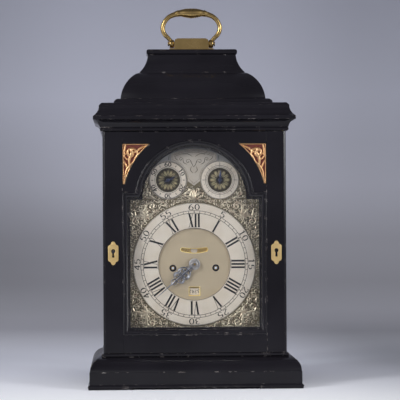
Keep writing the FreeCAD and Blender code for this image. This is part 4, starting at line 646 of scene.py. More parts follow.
def oak_finish():
    """Plain oak with its grain along the boards."""
    f = Finish("plain_oak")
    grain = f.noise(70.0, 6.0, 0.6, (0.06, 1, 1))
    both = f.mix(0.35, grain, f.noise(420.0, 2.0, 0.5, (0.03, 1, 1)))
    tone = f.ramp(both, (0.32, linear(92, 62, 38)), (0.52, linear(146, 106, 68)), (0.7, linear(172, 132, 90)))
    return f.shade(Base_Color=tone, Roughness=f.ramp(grain, (0.3, 0.75), (0.7, 0.55)),
                   Normal=f.bump(both, 0.35, 0.0003))


def brass_finish(name, bright, dull, rough, cast=False, relief=False, scratches=0.12, metal=1.0):
    """Brass with age in its hollows. Cast work is pitted, and relief work is dark where it lies low."""
    f = Finish(name)
    cloud = f.group("tarnish", Scale=38.0, Amount=0.55)["Cloud"]
    colour = f.mix(cloud, bright, dull)
    if relief:
        colour = f.mix(f.ramp(f.noise(170.0), (0.5, 0.0), (0.66, 0.4)), colour, linear(150, 112, 90))
        level = f.node("ShaderNodeAttribute", attribute_name="relief").outputs["Fac"]
        low = f.ramp(level, (0.0, 1.0), (0.55, 0.9), (0.95, 0.0))
        colour = f.mix(low, colour, linear(40, 35, 33))
        f.shade(Roughness=f.ramp(level, (0.05, 0.75), (0.5, rough + 0.05)),
                Metallic=f.ramp(level, (0.0, 0.35), (0.4, 1.0)))
    else:
        f.shade(Roughness=f.ramp(cloud, (0.0, rough), (0.6, rough + 0.16)), Metallic=metal)
    rubbed = f.group("wear", Reach=0.0004, Amount=0.6, Scale=200.0)["Mask"]
    normal = f.bump(f.group("scratches", Scale=900.0, Length=24.0)["Height"], scratches, 0.00004)
    if cast:
        normal = f.bump(f.noise(1100.0, 4.0, 0.65), 0.45, 0.00018, Normal=normal)
    return f.shade(Base_Color=f.mix(rubbed, colour, toned(bright, 1.18)), Normal=normal)


def dial_plate_finish(colours):
    """Gilt brass plate: stippled and matt inside the hour ring, brushed outside it and darkened there by
    painted shade between the castings, and pale in the arch.
    """
    f = Finish("dial_plate_brass")
    x, _, z = f.split(f.place())
    up = f.math("SUBTRACT", z, DIAL_Z * MM)
    square = f.math("ADD", f.math("POWER", x, 2.0), f.math("POWER", up, 2.0))
    outer = f.math("GREATER_THAN", f.math("SQRT", square), RING_R * MM)
    cloud = f.group("tarnish", Scale=38.0, Amount=0.5)["Cloud"]
    matt = f.mix(cloud, colours.matted[:], toned(colours.matted, 0.82))
    # painted shade: the plate outside the hour ring is darkened where it lies between the castings
    shaded = f.mix(cloud, linear(128, 116, 92), linear(88, 80, 66))
    bright = f.mix(f.spread(z, 0.284, 0.291), shaded, linear(158, 155, 152))
    dots = f.node("ShaderNodeTexVoronoi", Vector=f.place(), Scale=1500.0).outputs["Distance"]
    return f.shade(Base_Color=f.mix(outer, matt, bright), Roughness=f.ramp(outer, (0.0, 0.58), (1.0, 0.4)),
                   Metallic=f.ramp(outer, (0.0, 0.45), (1.0, 0.6)), Normal=f.bump(dots, 0.5, 0.00012))


def silvered_finish(name, colours, tone):
    """Matt silvering on brass, a little yellowed and clouded."""
    f = Finish(name)
    age = f.group("tarnish", Scale=55.0, Amount=0.6)
    marks = f.group("scratches", Scale=1400.0, Length=20.0)["Height"]
    yellowed = toned(linear(208, 190, 170), tone)
    return f.shade(Base_Color=f.mix(age["Cloud"], toned(colours.silver, tone), yellowed),
                   Roughness=f.ramp(age["Specks"], (0.35, 0.42), (0.65, 0.55)), Metallic=0.25,
                   Normal=f.bump(marks, 0.14, 0.00004))


def wax_finish():
    """Black wax in the engraving."""
    f = Finish("black_wax")
    return f.shade(Base_Color=f.ramp(f.noise(700.0), (0.3, linear(12, 11, 14)), (0.75, linear(34, 32, 36))),
                   Roughness=f.ramp(f.noise(400.0), (0.3, 0.5), (0.7, 0.75)), Specular_IOR_Level=0.2)


def steel_finish(name, low, high, rough, metal=1.0):
    """Steel, bright or blued, with fine marks of the file."""
    f = Finish(name)
    marks = f.group("scratches", Scale=1100.0, Length=16.0)["Height"]
    return f.shade(Base_Color=f.ramp(f.noise(130.0, 5.0), (0.32, low), (0.7, high)), Metallic=metal,
                   Roughness=f.ramp(f.noise(260.0), (0.3, rough), (0.7, rough + 0.16)),
                   Normal=f.bump(marks, 0.16, 0.00004))


def silk_finish(colours):
    """Ribbed silk, lighter where it stands proud and darker between its ribs."""
    f = Finish("fret_silk")
    threads = []
    for way, scale, bent, detail in (("Z", 900.0, 1.2, 2.0), ("X", 1300.0, 0.8, 1.0)):
        ribs = f.node("ShaderNodeTexWave", wave_type="BANDS", bands_direction=way, Vector=f.place(),
                      Scale=scale, Distortion=bent, Detail=detail)
        threads.append(ribs.outputs["Color"])
    cloth = f.mix(0.5, *threads)
    colour = f.ramp(cloth, (0.2, toned(colours.silk, 0.45)), (0.8, toned(colours.silk, 1.5)))
    return f.shade(Base_Color=colour, Roughness=f.ramp(f.noise(200.0), (0.3, 0.55), (0.7, 0.75)),
                   Normal=f.bump(cloth, 0.5, 0.0001), Sheen_Weight=0.4, Sheen_Roughness=0.4)


def glass_finish():
    """Thin old glass. Lamps shine through it, so what lies behind isn't left dark."""
    f = Finish("thin_glass")
    f.shade(Base_Color=(0.97, 0.985, 0.98, 1), Metallic=0.0, Transmission_Weight=1.0, IOR=1.45,
            Roughness=f.ramp(f.noise(20.0), (0.3, 0.0), (0.8, 0.03)))
    ray = f.node("ShaderNodeLightPath").outputs
    return f.cleared(f.math("MAXIMUM", ray["Is Shadow Ray"], ray["Is Diffuse Ray"]), (0.93, 0.95, 0.95, 1))


BRASSES = {  # material's name, bright and dull colour, roughness, and what else sets it apart
    "gilt_brass": ("lacquered_brass", (200, 170, 110), (120, 98, 60), 0.24, {"scratches": 0.05}),
    "pale_brass": ("pale_brass", (230, 200, 138), (184, 152, 96), 0.36, {"metal": 0.7}),
    "bright_gilding": ("bright_gilding", (255, 232, 164), (246, 206, 124), 0.42, {"metal": 0.35}),
    "polished_brass": ("polished_brass", (238, 206, 136), (204, 168, 102), 0.22, {}),
    "cast_brass": ("cast_brass", (203, 190, 168), (137, 124, 104), 0.34, {"cast": True, "relief": True}),
    "rose_gilding": ("rose_gilding", (178, 166, 130), (134, 122, 90), 0.5, {"cast": True, "relief": True}),
    "fret_gilding": ("fret_gilding", (244, 200, 148), (206, 150, 104), 0.3, {"cast": True}),
    "plate_brass": ("plate_brass", (206, 170, 98), (160, 128, 70), 0.28, {}),
    "bell_metal": ("bell_metal", (196, 180, 132), (150, 132, 90), 0.3, {}),
}
STEELS = {  # material's name, low and high colour, roughness, and how metallic it is
    "blued_steel": ("blued_steel", (40, 44, 62), (74, 78, 100), 0.25, 1.0),
    "hand_steel": ("hand_steel", (76, 77, 86), (176, 176, 184), 0.34, 1.0),
    "bright_steel": ("bright_steel", (214, 214, 220), (240, 240, 244), 0.4, 0.4),
    "pale_steel": ("pale_steel", (120, 116, 118), (196, 190, 188), 0.4, 0.6),
    "black_steel": ("black_steel", (22, 22, 26), (38, 38, 44), 0.4, 1.0),
    "steel": ("plain_steel", (120, 120, 124), (176, 176, 180), 0.3, 1.0),
}


def build_finishes(colours):
    """Makes the node groups and every material."""
    GROUPS.update(wear=edge_wear_group(), tarnish=tarnish_group(), scratches=scratch_group())
    for key, (name, bright, dull, rough, more) in BRASSES.items():
        FINISHES[key] = brass_finish(name, linear(*bright), linear(*dull), rough, **more)
    for key, (name, low, high, rough, metal) in STEELS.items():
        FINISHES[key] = steel_finish(name, linear(*low), linear(*high), rough, metal)
    FINISHES["ebonised"] = ebonised_finish("ebonised_varnish", colours, 0.0)
    FINISHES["polished_ebony"] = ebonised_finish("polished_varnish", colours, 0.4)
    FINISHES["oak"] = oak_finish()
    FINISHES["dial_plate"] = dial_plate_finish(colours)
    FINISHES["silvered"] = silvered_finish("silvered_brass", colours, 1.0)
    FINISHES["dull_silver"] = silvered_finish("dull_silvering", colours, 0.72)
    FINISHES["wax"] = wax_finish()
    FINISHES["silk"] = silk_finish(colours)
    FINISHES["glass"] = glass_finish()


# ------------------------------------------------------------------ pieces
SHOWN_BLACK = ("top_board", "carcass_rails")
WOODS = ("ebonised", "oak")
WOOD_EDGE, METAL_EDGE = 0.00045, 0.00016      # how far sharp edges are rounded, in metres


def finish_frame():
    """Gives every construction piece its finish, and rounds the sharp edges of wood and brass."""
    for name, piece in NODES.items():
        slot = piece.material_slots[0].name.split(".")[0]
        piece.data.materials.clear()
        piece.data.materials.append(FINISHES["ebonised" if name in SHOWN_BLACK else slot])
        if slot == "glass":
            continue
        weld = piece.modifiers.new("weld", "WELD")
        weld.merge_threshold = 0.00001
        edge = piece.modifiers.new("rounded_edges", "BEVEL")
        edge.width = WOOD_EDGE if slot in WOODS else METAL_EDGE
        edge.segments = 2
        edge.limit_method = "ANGLE"
        edge.angle_limit = radians(28)
        edge.harden_normals = True
        edge.use_clamp_overlap = True


def arched_line(half, low, shoulder, r, count):
    """A flat foot, straight sides and shoulders, and an arch above them."""
    start = degrees(atan2(shoulder - ARCH_Z, sqrt(r * r - (shoulder - ARCH_Z) ** 2)))
    arch = arc(0, ARCH_Z, r, 180 - start, start, count)
    return [(-half, low), (-half, shoulder), *arch, (half, shoulder), (half, low)]


def build_sight_moulding():
    """The moulding that frames the glass: a fine bead, an ovolo and a fillet, mitred at the corners."""
    y, glass = DOOR_FRONT, GLASS_FRONT
    bead = [(1.1 - 1.1 * cos(radians(a)), y - 0.75 * sin(radians(a))) for a in range(0, 181, 30)]
    ovolo = [(2.7 + 4.9 * sin(radians(a)), y + 0.5 + 5.0 * (1 - cos(radians(a)))) for a in range(0, 91, 15)]
    sections = [(0.0, y + 3.0), *bead, (2.5, y + 0.5), *ovolo, (8.6, y + 5.9), (9.6, y + 6.2),
                (9.8, y + 6.6), (9.8, glass), (5.4, glass), (5.4, y + 14.0), (0.0, y + 14.0)]
    points = []
    for inset, depth in sections:
        line = arched_line(OPENING_HALF - inset, OPENING_LOW + inset, SHOULDER_Z - inset, ARCH_R - inset, 56)
        points += [(x, depth, z) for x, z in line]
    mesh = joined(mesh_of(points, band_faces(len(sections), len(line), True)))
    piece = finished("sight_moulding", mesh, "polished_ebony", "front_door")
    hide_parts("door_sight_moulding")


def fret_edge(inset, count=24):
    """Outline of the curved triangle at the right, outside the arch band."""
    r = BAND_R + 0.1 + inset
    top = FRET_HIGH.z - inset
    right = FRET_HIGH.x - inset
    low = FRET_LOW.z + inset
    if r > right - 0.8:
        low = max(low, ARCH_Z + sqrt(r * r - (right - 0.8) ** 2))
    top_x = sqrt(r * r - (top - ARCH_Z) ** 2)
    low_x = sqrt(r * r - (low - ARCH_Z) ** 2)
    start, end = degrees(atan2(low - ARCH_Z, low_x)), degrees(atan2(top - ARCH_Z, top_x))
    return [(top_x, top), (right, top), (right, low), *arc(0, ARCH_Z, r, start, end, count)[:-1]]


def build_frets():
    """Pierced and gilt corner frets over stretched silk."""
    right, top = FRET_HIGH.x, FRET_HIGH.z
    rim = fret_edge(0.75)
    stems = (
        ((18.0, 16.0, 1.2), (14.6, 24.0, 1.8), (8.4, 30.0, 1.9), (4.6, 37.0, 1.6), (3.4, 46.0, 1.2),
         (2.6, 51.0, 0.9)),
        ((12.0, 13.0, 2.6), (9.4, 20.0, 2.4), (9.0, 27.0, 1.8), (12.0, 31.4, 1.0)),
        ((4.4, 1.6, 1.2), (3.0, 8.0, 1.8), (2.6, 15.0, 1.3)),
        ((19.4, 9.4, 1.2), (24.4, 5.4, 1.6), (31.0, 2.4, 1.0)),
        ((1.4, 22.0, 1.0), (4.0, 27.0, 1.6), (6.6, 33.0, 1.2)),
        ((4.4, 19.2, 1.0), (2.4, 16.0, 1.4), (5.4, 12.8, 1.0)),
    )
    leaves = ((12.5, 12.0, 70, 6.4, 2.6, 50), (12.5, 12.0, 150, 5.4, 2.2, 40), (9.6, 20.0, -20, 5.0, 1.9, 50),
              (7.4, 31.0, 190, 4.6, 1.6, -40))
    lines = [[(x, z, 1.1) for x, z in rim + rim[:2]],
             scroll(right - 11.8, top - 12.8, 8.4, 2.2, 215, -160, 1.7, 2.6, 40)]
    lines += [smooth_line([(right - x, top - z, w) for x, z, w in stem]) for stem in stems]
    lines += [leaf(right - x, top - z, *shape) for x, z, *shape in leaves]
    balls = [ball for line in lines for ball in balls_along([(x, z, w * 1.42) for x, z, w in line], 0.8)]
    low_x = fret_edge(0)[0][0]
    corners = (low_x - 1, FRET_LOW.z - 0.4), (right + 0.1, top + 0.1)
    mesh = carving(balls, *corners, 0.24, FRET_HIGH.y - 0.35, 0.5)
    mesh = mirrored(mesh)
    piece = finished("pierced_frets", mesh, "fret_gilding", "front_door", 60)
    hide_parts("corner_frets")

    for side, label in ((1, "right"), (-1, "left")):
        silk = silk_mesh(side)
        cloth = finished("fret_silk_" + label, silk, "silk", "front_door", 80)
        if side > 0:
            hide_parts("fret_silks")


def silk_mesh(side):
    """Cloth behind one fret, drawn tight with shallow puckers from its corner."""
    flat = sheet_metal([fret_edge(0)], -0.01, 0.01)
    with edited(flat) as work:
        back = [face for face in work.faces if face.normal.y > -0.5]
        bmesh.ops.delete(work, geom=back, context="FACES")
        bmesh.ops.triangulate(work, faces=work.faces)
        for _ in range(3):
            bmesh.ops.subdivide_edges(work, edges=[e for e in work.edges if e.calc_length() > 1.6], cuts=1)
            bmesh.ops.triangulate(work, faces=work.faces)
        for vert in work.verts:
            dx, dz = FRET_HIGH.x - vert.co.x, FRET_HIGH.z - vert.co.z
            vert.co.y = SILK_LOW.y + 0.4 + 0.3 * sin(16 * atan2(dz, dx + 0.01)) * min(1.0, hypot(dx, dz) / 12)
            vert.co.x *= side
        bmesh.ops.recalc_face_normals(work, faces=work.faces)
    return flat


def build_escutcheons():
    """Brass keyhole plates with a lobed top and foot, pinned at both ends."""
    middle_x = ESCUTCHEON_HIGH.x - 6.9
    middle_z = (ESCUTCHEON_LOW.z + ESCUTCHEON_HIGH.z) / 2
    half, tall = 6.8, 15.5
    quarter = [(0.0, tall), (1.5, tall - 0.4), (2.6, tall - 1.8), (3.1, tall - 3.4), (4.1, tall - 4.4),
               (5.6, tall - 5.0), (half, tall - 6.6)]
    top = [(-x, z) for x, z in reversed(quarter[1:])] + quarter
    outline = [(middle_x + x, middle_z + z) for x, z in top + [(x, -z) for x, z in reversed(top)]]
    keyhole = arc(middle_x, middle_z + 2.8, 2.7, -60, 240, 20)
    keyhole += [(middle_x - 1.5, middle_z - 5.4), (middle_x + 1.5, middle_z - 5.4)]
    plate = sheet_metal([outline, keyhole], DOOR_FRONT - 1.4, DOOR_FRONT, 0.3)
    pin = [(0.0, 0.0), (0.7, 0.06), (1.1, 0.3), (1.15, 0.7)]
    pins = [turned(pin, (middle_x, DOOR_FRONT - 1.85, middle_z + z), count=16) for z in (-12.4, 12.4)]
    mesh = mirrored(joined(plate, *pins))
    piece = finished("keyhole_plates", mesh, "pale_brass", "front_door")
    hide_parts("escutcheons")


def build_dial_plate():
    """Dial plate with round holes, the bob slot and the date square, its feet and the date ring's studs."""
    slot, date = bob_slot_line(0.0), date_square_line(0.1)
    holes = [slot, date, circle(0, DIAL_Z, 4.7)]
    for side in (-1, 1):
        holes.append(circle(side * WINDING_X, WINDING_Z, 4.6))
        holes.append(circle(side * SUB_X, SUB_Z, 1.3, 24))
    edge = arched_line(DIAL_HIGH.x, DIAL_LOW.z, DIAL_SHOULDER, DIAL_HIGH.z - ARCH_Z, 64)
    plate = sheet_metal([edge, *holes], DIAL_FRONT, DIAL_BACK)
    foot = [(0, 0), (2.6, 0), (2.6, 14.5), (0, 14.5)]
    feet = [turned(foot, (side * 58, DIAL_BACK, z), count=24) for side in (-1, 1) for z in (108, 222)]
    stud = [(0, 0), (1.5, 0), (1.5, 1.6), (2.9, 1.6), (2.9, 2.4), (0, 2.4)]
    studs = [turned(stud, (42.8 * cos(radians(a)), DIAL_BACK, DIAL_Z + 42.8 * sin(radians(a))), count=20)
             for a in (30, 150, 270)]
    piece = finished("dial_plate_finished", joined(plate, *feet, *studs), "dial_plate", "case")
    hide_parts("dial_plate")


def build_openings():
    """Sloped edges of the bob slot and date square, a screen behind the slot, and the winding holes' rims."""
    sills = [sloped_frame(bob_slot_line(0.0), bob_slot_line(-0.9)),
             sloped_frame(date_square_line(0.1), date_square_line(-0.8))]
    finished("opening_sills", joined(*sills), "bright_gilding", "case", 20)
    screen = sheet_metal([rectangle(-21, 21, 173.6, 186.2)], DIAL_BACK + 3.9, DIAL_BACK + 4.3)
    tabs = [sheet_metal([rectangle(x, x + 0.8, 176, 182)], DIAL_BACK, DIAL_BACK + 4.0) for x in (-20.4, 19.6)]
    finished("bob_screen", joined(screen, *tabs), "polished_brass", "case")

    collet = [(4.6, 0.0), (4.6, -0.35), (4.0, -0.6), (2.9, -0.6), (2.55, -0.2), (2.55, 1.6), (4.6, 1.6)]
    centres = [(x, DIAL_FRONT, WINDING_Z) for x in (-WINDING_X, WINDING_X)]
    collets = [turned(collet, centre, count=48, closed=True) for centre in centres]
    finished("winding_collets", joined(*collets), "black_steel", "case")
    for side, body in ((1, "going_fusee"), (-1, "strike_fusee")):
        x, z, half = side * WINDING_X, WINDING_Z, 1.4
        square = rectangle(x - half, x + half, z - half, z + half)
        cap = sheet_metal([square], RING_FRONT + 0.45, RING_FRONT + 2.2, 0.3)
        finished("winding_square_" + body, cap, "bright_steel", body, 20)


def rectangle(left, right, low, high):
    return [(left, low), (right, low), (right, high), (left, high)]


def bob_slot_line(grow):
    """Boat-shaped slot for the mock pendulum: nearly straight above, curved below, round at its ends."""
    low, high = BOB_SLOT
    half = 15.9
    places = [k / 16 for k in range(-16, 17)]
    below = [(half * t, low + 2.2 * t * t - grow) for t in places]
    above = [(half * t, high - 1.1 + 1.1 * t * t + grow) for t in reversed(places)]
    middle = (below[-1][1] + above[0][1]) / 2
    tall = (above[0][1] - below[-1][1]) / 2
    right = arc(half, middle, 2.6 + grow, -75, 75, 8, tall)
    left = [(-x, z) for x, z in reversed(right)]
    return below + right + above + left


def date_square_line(grow):
    half_x, half_z = 7.5 + grow, 6.1 + grow
    return rectangle(-half_x, half_x, DATE_Z - half_z, DATE_Z + half_z)


def sloped_frame(outer, inner):
    """A bevelled edge that runs from an opening in the dial plate's face in to a smaller one."""
    rows = [(outer, DIAL_FRONT - 0.12), (inner, DIAL_FRONT + 0.9), (inner, DIAL_BACK), (outer, DIAL_BACK)]
    points = [(x, y, z) for line, y in rows for x, z in line]
    return joined(mesh_of(points, band_faces(len(rows), len(outer), True)))


def ring_profile(inner, inner_edge, outer, thick):
    """Section of a silvered ring, its front edges broken a little."""
    return [(inner, thick), (inner, inner_edge), (inner + inner_edge, 0.0), (outer - 0.3, 0.0), (outer, 0.3),
            (outer, thick)]


def build_chapter_ring():
    """Silvered hour ring with its numerals, minute track and minute figures filled with wax."""
    section = ring_profile(RING_INNER, 0.25, RING_R, 2.0)
    ring = turned(section, (0, RING_FRONT, DIAL_Z), count=192, closed=True)
    piece = finished("hour_ring", ring, "silvered", "case", 25)
    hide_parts("chapter_ring")

    ink = []
    names = ("XII", "I", "II", "III", "IIII", "V", "VI", "VII", "VIII", "IX", "X", "XI")
    for hour, name in enumerate(names):
        ink += set_round(roman_strokes(name, 17.4, 2.45, 0.6), HOUR_FIGURE_R, hour * 30, 0, DIAL_Z)
    for minute in range(5, 65, 5):
        ink += set_round(number_strokes(minute, 7.7, 1.5, 0.55, 1.4), MINUTE_FIGURE_R, minute * 6, 0, DIAL_Z)
    for r, width in ((MINUTE_TRACK[0], 0.6), (MINUTE_TRACK[1], 0.6), (47.75, 0.6), (80.4, 0.3)):
        ink.append(ring_line(0, DIAL_Z, r, width))
    for minute in range(60):
        wide = 0.6 if minute % 5 else 1.0
        ink.append(spoke(0, DIAL_Z, minute * 6, *[(r, wide) for r in MINUTE_TRACK]))
    waxed("hour_ring_numerals", ink, RING_FRONT)


def build_small_dials():
    """Two silvered rings in the arch, each round a gilt rosette that lies a little deeper."""
    rings, roses, ink, rays = [], [], [], []
    section = ring_profile(SUB_INNER, 0.3, SUB_R, 1.6)
    for side, petals, second_ring in ((-1, 16, 24.0), (1, 12, 19.2)):
        x = side * SUB_X
        rings.append(turned(section, (x, SUB_FRONT, SUB_Z), count=96, closed=True))
        roses.append(rosette(x, SUB_Z, SUB_INNER + 0.2, 1.4, SUB_FRONT + 1.25, petals))
        ink += [ring_line(x, SUB_Z, r, 0.5, 96) for r in (17.4, second_ring, 24.8)]
    for place in range(12):
        if place % 2 == 0:
            number = number_strokes(place * 5 or 60, 5.2, 1.3, 0.6, 1.25)
            ink += set_round(number, 20.8, place * 30, -SUB_X, SUB_Z)
        else:
            ink.append(spoke(-SUB_X, SUB_Z, place * 30, (19.4, 0.3), (20.9, 1.1), (22.4, 0.3)))
    for place in range(24):
        mark = ((18.4 if place % 6 else 17.2, 0.3), (21.0, 0.62), (23.4, 0.3))
        if place % 3:
            mark = ((20.4, 0.4), (21.6, 0.4))
        ink.append(spoke(SUB_X, SUB_Z, place * 15, *mark))
    piece = finished("small_dial_rings", joined(*rings), "silvered", "case", 25)
    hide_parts("subsidiary_dials")
    waxed("small_dial_numerals", ink, SUB_FRONT)
    finished("small_dial_rosettes", joined(*roses, outwards=False), "rose_gilding", "case", 60)
    for side, points, long_ray in ((-1, 16, 13.6), (1, 12, 14.6)):
        for k in range(points):
            a = 2 * pi * k / points
            far = long_ray if k % 2 == 0 else long_ray * 0.72
            stations = ((2.2, 1.5), (far * 0.5, 1.15), (far, 0.25))
            rays.append([(side * SUB_X + r * sin(a), SUB_Z + r * cos(a), w) for r, w in stations])
        rays.append(ring_line(side * SUB_X, SUB_Z, 4.6, 0.6, 48))
        rays.append(ring_line(side * SUB_X, SUB_Z, 16.0, 0.35, 72))
    waxed("small_dial_stars", rays, SUB_FRONT + 0.36)


def rosette(cx, cz, radius, inner, y_face, petals):
    """A rose of petals worked on a disc, each with a rib, as a polar relief."""
    rings, around = 26, petals * 8
    points, levels = [], []
    for i in range(rings + 1):
        r = inner + (radius - inner) * i / rings
        t = i / rings
        for k in range(around):
            a = 2 * pi * k / around
            wave = abs(cos(petals * a / 2))
            bowl = sin(pi * min(1.0, t * 1.15)) * 0.6
            edge = 1.0 if t > 0.93 else 0.0
            lift = 0.3 + bowl * (0.25 + 0.75 * wave ** 1.5) * (1 - edge) + edge * 0.35
            points.append((cx + r * cos(a), y_face - lift, cz + r * sin(a)))
            levels.append(lift * 1.3)
    return with_relief(mesh_of(points, band_faces(rings + 1, around)), levels)


def corner_ornament():
    """Cast scrolls and leaves for the upper right corner, as strokes measured from the dial's centre."""
    edge = 84.0
    stems = (((20.0, 20.0, 2.8), (13.0, 20.4, 3.2), (7.4, 21.2, 2.6)),
             ((22.0, 23.0, 2.0), (15.4, 31.0, 1.6), (10.4, 38.0, 1.2)))
    leaves = ((14.6, 31.0, -70, 8.0, 2.6, -30), (12.0, 37.4, -10, 6.6, 2.2, -50),
              (1.8, 33.0, -100, 7.0, 2.2, 20), (18.0, 26.6, -150, 5.6, 2.2, 40),
              (7.0, 20.6, 60, 8.6, 2.8, 60), (3.6, 21.4, 20, 4.0, 2.0, 60),
              (12.6, 19.4, 85, 7.6, 2.6, 40), (10.4, 38.0, -120, 5.0, 1.8, -20),
              (6.2, 45.4, -150, 4.0, 1.5, -20), (2.2, 40.0, -80, 5.0, 1.7, 20))
    half = [
        scroll(edge - 7.0, edge - 27.0, 6.0, 1.2, 100, -330, 2.6, 2.2, 44),
        scroll(edge - 5.6, edge - 43.6, 3.9, 0.9, 100, -300, 1.9, 1.6, 34),
        *[smooth_line([(edge - x, edge - z, w) for x, z, w in stem]) for stem in stems],
        *[leaf(edge - x, edge - z, *shape) for x, z, *shape in leaves],
        [(edge - 0.6, edge - 14.0, 1.0), (edge - 0.6, edge - 46.0, 0.8)],
    ]
    lines = half + [[(z, x, w) for x, z, w in line] for line in half]
    root = edge - 20.5
    middle = [leaf(root, root, 45 + turn, 15.0 - abs(turn) * 0.09, 3.8 - abs(turn) * 0.012, turn * 0.35)
              for turn in (-62, -32, 0, 32, 62)]
    middle += [leaf(root, root, 225 + turn, 5.6, 2.6, turn * 0.5) for turn in (-40, 0, 40)]
    return lines + middle, [(root, root, 3.4, 2.1)]


def curling_ground(low, high, pitch, size):
    """Small curls and buds set closely over an area, to lie between the larger leaves."""
    lines = []
    row, z = 0, low[1]
    while z < high[1]:
        x = low[0] + (row % 2) * pitch / 2
        column = 0
        while x < high[0]:
            turn = 67 * column + 101 * row
            way = 1 if (row + column) % 2 else -1
            lines.append(scroll(x, z, size, size * 0.24, turn, turn + way * 400, 1.9, 1.3, 22))
            bud_x, bud_z = x + size * cos(radians(turn)), z + size * sin(radians(turn))
            lines.append(leaf(bud_x, bud_z, turn - way * 70, size * 1.25, 1.5, -way * 50, 7))
            x += pitch
            column += 1
        z += pitch * 0.88
        row += 1
    return lines


def heaped(lines, most, base, share=1.0):
    """Balls along strokes, lifted by a base height and held under the highest one."""
    balls = [ball for line in lines for ball in balls_along(line)]
    return [(x, z, r, min(most, base + lift * share)) for x, z, r, lift in balls]


def build_corner_castings():
    """The four cast corner ornaments round the hour ring."""
    lines, knobs = corner_ornament()
    balls = heaped(lines, 1.75, 0.3)
    balls += [(x, z, r, min(1.75, lift)) for x, z, r, lift in knobs]
    balls += heaped(curling_ground((2.0, 2.0), (88.0, 88.0), 6.6, 2.6), 1.25, 0.2)
    limit = RING_R + 0.9
    kept = [b for b in balls if hypot(b[0], b[1]) > limit + b[2] * 0.7 and max(b[0], b[1]) + b[2] < 88.4]
    mesh = carving(kept, (0, 0), (88.4, 88.4), 0.42, DIAL_FRONT)
    whole = mirrored(mirrored(mesh, (1, 1, -1), False), outwards=False)
    whole.transform(Matrix.Translation((0, 0, DIAL_Z)))
    piece = finished("corner_castings", whole, "cast_brass", "case", 60)
    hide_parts("corner_spandrels")


def build_arch_castings():
    """Leaf work in the arch, under and beside the small dials."""
    low = DIAL_Z + 83.4
    half = [
        scroll(9.4, 252.8, 4.2, 0.9, 190, -160, 2.0, 1.8, 36),
        scroll(19.6, 246.6, 2.6, 0.7, 150, -170, 1.5, 1.3, 26),
        smooth_line([(1.4, low + 3.0, 2.0), (5.6, low + 2.4, 2.6), (12.0, low + 1.2, 2.2),
                     (19.6, low - 0.6, 1.8), (27.0, low - 3.6, 1.0)]),
        leaf(1.4, 252.0, 62, 8.4, 2.6, 30),
        leaf(6.0, 257.0, 100, 5.6, 2.0, -40),
        leaf(13.0, 250.4, 30, 6.4, 2.0, -40),
        leaf(4.0, 248.4, 20, 7.6, 2.4, 30),
        leaf(22.4, 245.2, 10, 5.0, 1.6, -20),
        scroll(61.6, 254.6, 3.6, 0.8, 220, -140, 1.9, 1.5, 32),
        leaf(62.8, 257.0, 96, 7.4, 2.2, 24),
        leaf(58.4, 252.0, 200, 8.6, 2.0, 26),
        leaf(64.2, 252.6, -60, 3.6, 1.8, 20),
        smooth_line([(66.4, 250.4, 1.2), (60.0, 249.4, 1.8), (52.0, 248.2, 1.2), (44.0, 246.6, 0.8)]),
    ]
    middle = [leaf(0, 246.4, 90 + turn, 13.6 - abs(turn) * 0.1, 3.0, turn * 0.2) for turn in (-24, 0, 24)]
    balls = heaped(both_sides(half) + middle, 1.7, 0.35, 0.95)
    balls += heaped(curling_ground((-68.0, 250.5), (68.0, 290.0), 5.6, 2.15), 1.0, 0.2, 0.9)
    kept = [b for b in balls
            if hypot(b[0], b[1] - DIAL_Z) > RING_R + 0.6 + b[2] * 0.6
            and hypot(abs(b[0]) - SUB_X, b[1] - SUB_Z) > SUB_R + 0.4 + b[2] * 0.6
            and (b[1] < 249.5 or hypot(b[0], b[1] - ARCH_Z) < 70.6 - b[2])
            and (abs(b[0]) > 40 or b[1] < 264.0)]
    mesh = carving(kept, (-71, 241.5), (71, 292), 0.4, DIAL_FRONT)
    piece = finished("arch_castings", mesh, "cast_brass", "case", 60)
    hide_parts("arch_mounts")


def plaque_line(inset):
    """Outline of the plaque: the arch above, a small dial's curve each side and a point below."""
    top_r = PLAQUE_HIGH.z - ARCH_Z - inset
    side_r = SUB_R + 0.8 + inset
    half = 30.0 - inset
    top_z = ARCH_Z + sqrt(top_r ** 2 - half ** 2)
    low = PLAQUE_LOW.z + inset * 2.2
    low_z = low + 6.0
    side_start = 180 - degrees(atan2(sqrt(max(0.0, side_r ** 2 - (SUB_X - half) ** 2)), SUB_X - half))
    side_end = 180 + degrees(atan2(SUB_Z - low_z, sqrt(side_r ** 2 - (SUB_Z - low_z) ** 2)))
    right = [(half, top_z), *arc(SUB_X, SUB_Z, side_r, side_start, side_end, 20)]
    top_start, top_end = degrees(atan2(top_z - ARCH_Z, -half)), degrees(atan2(top_z - ARCH_Z, half))
    top = arc(0, ARCH_Z, top_r, top_start, top_end, 40)[1:-1]
    return [*top, *right, (0, low), *[(-x, z) for x, z in reversed(right)]]


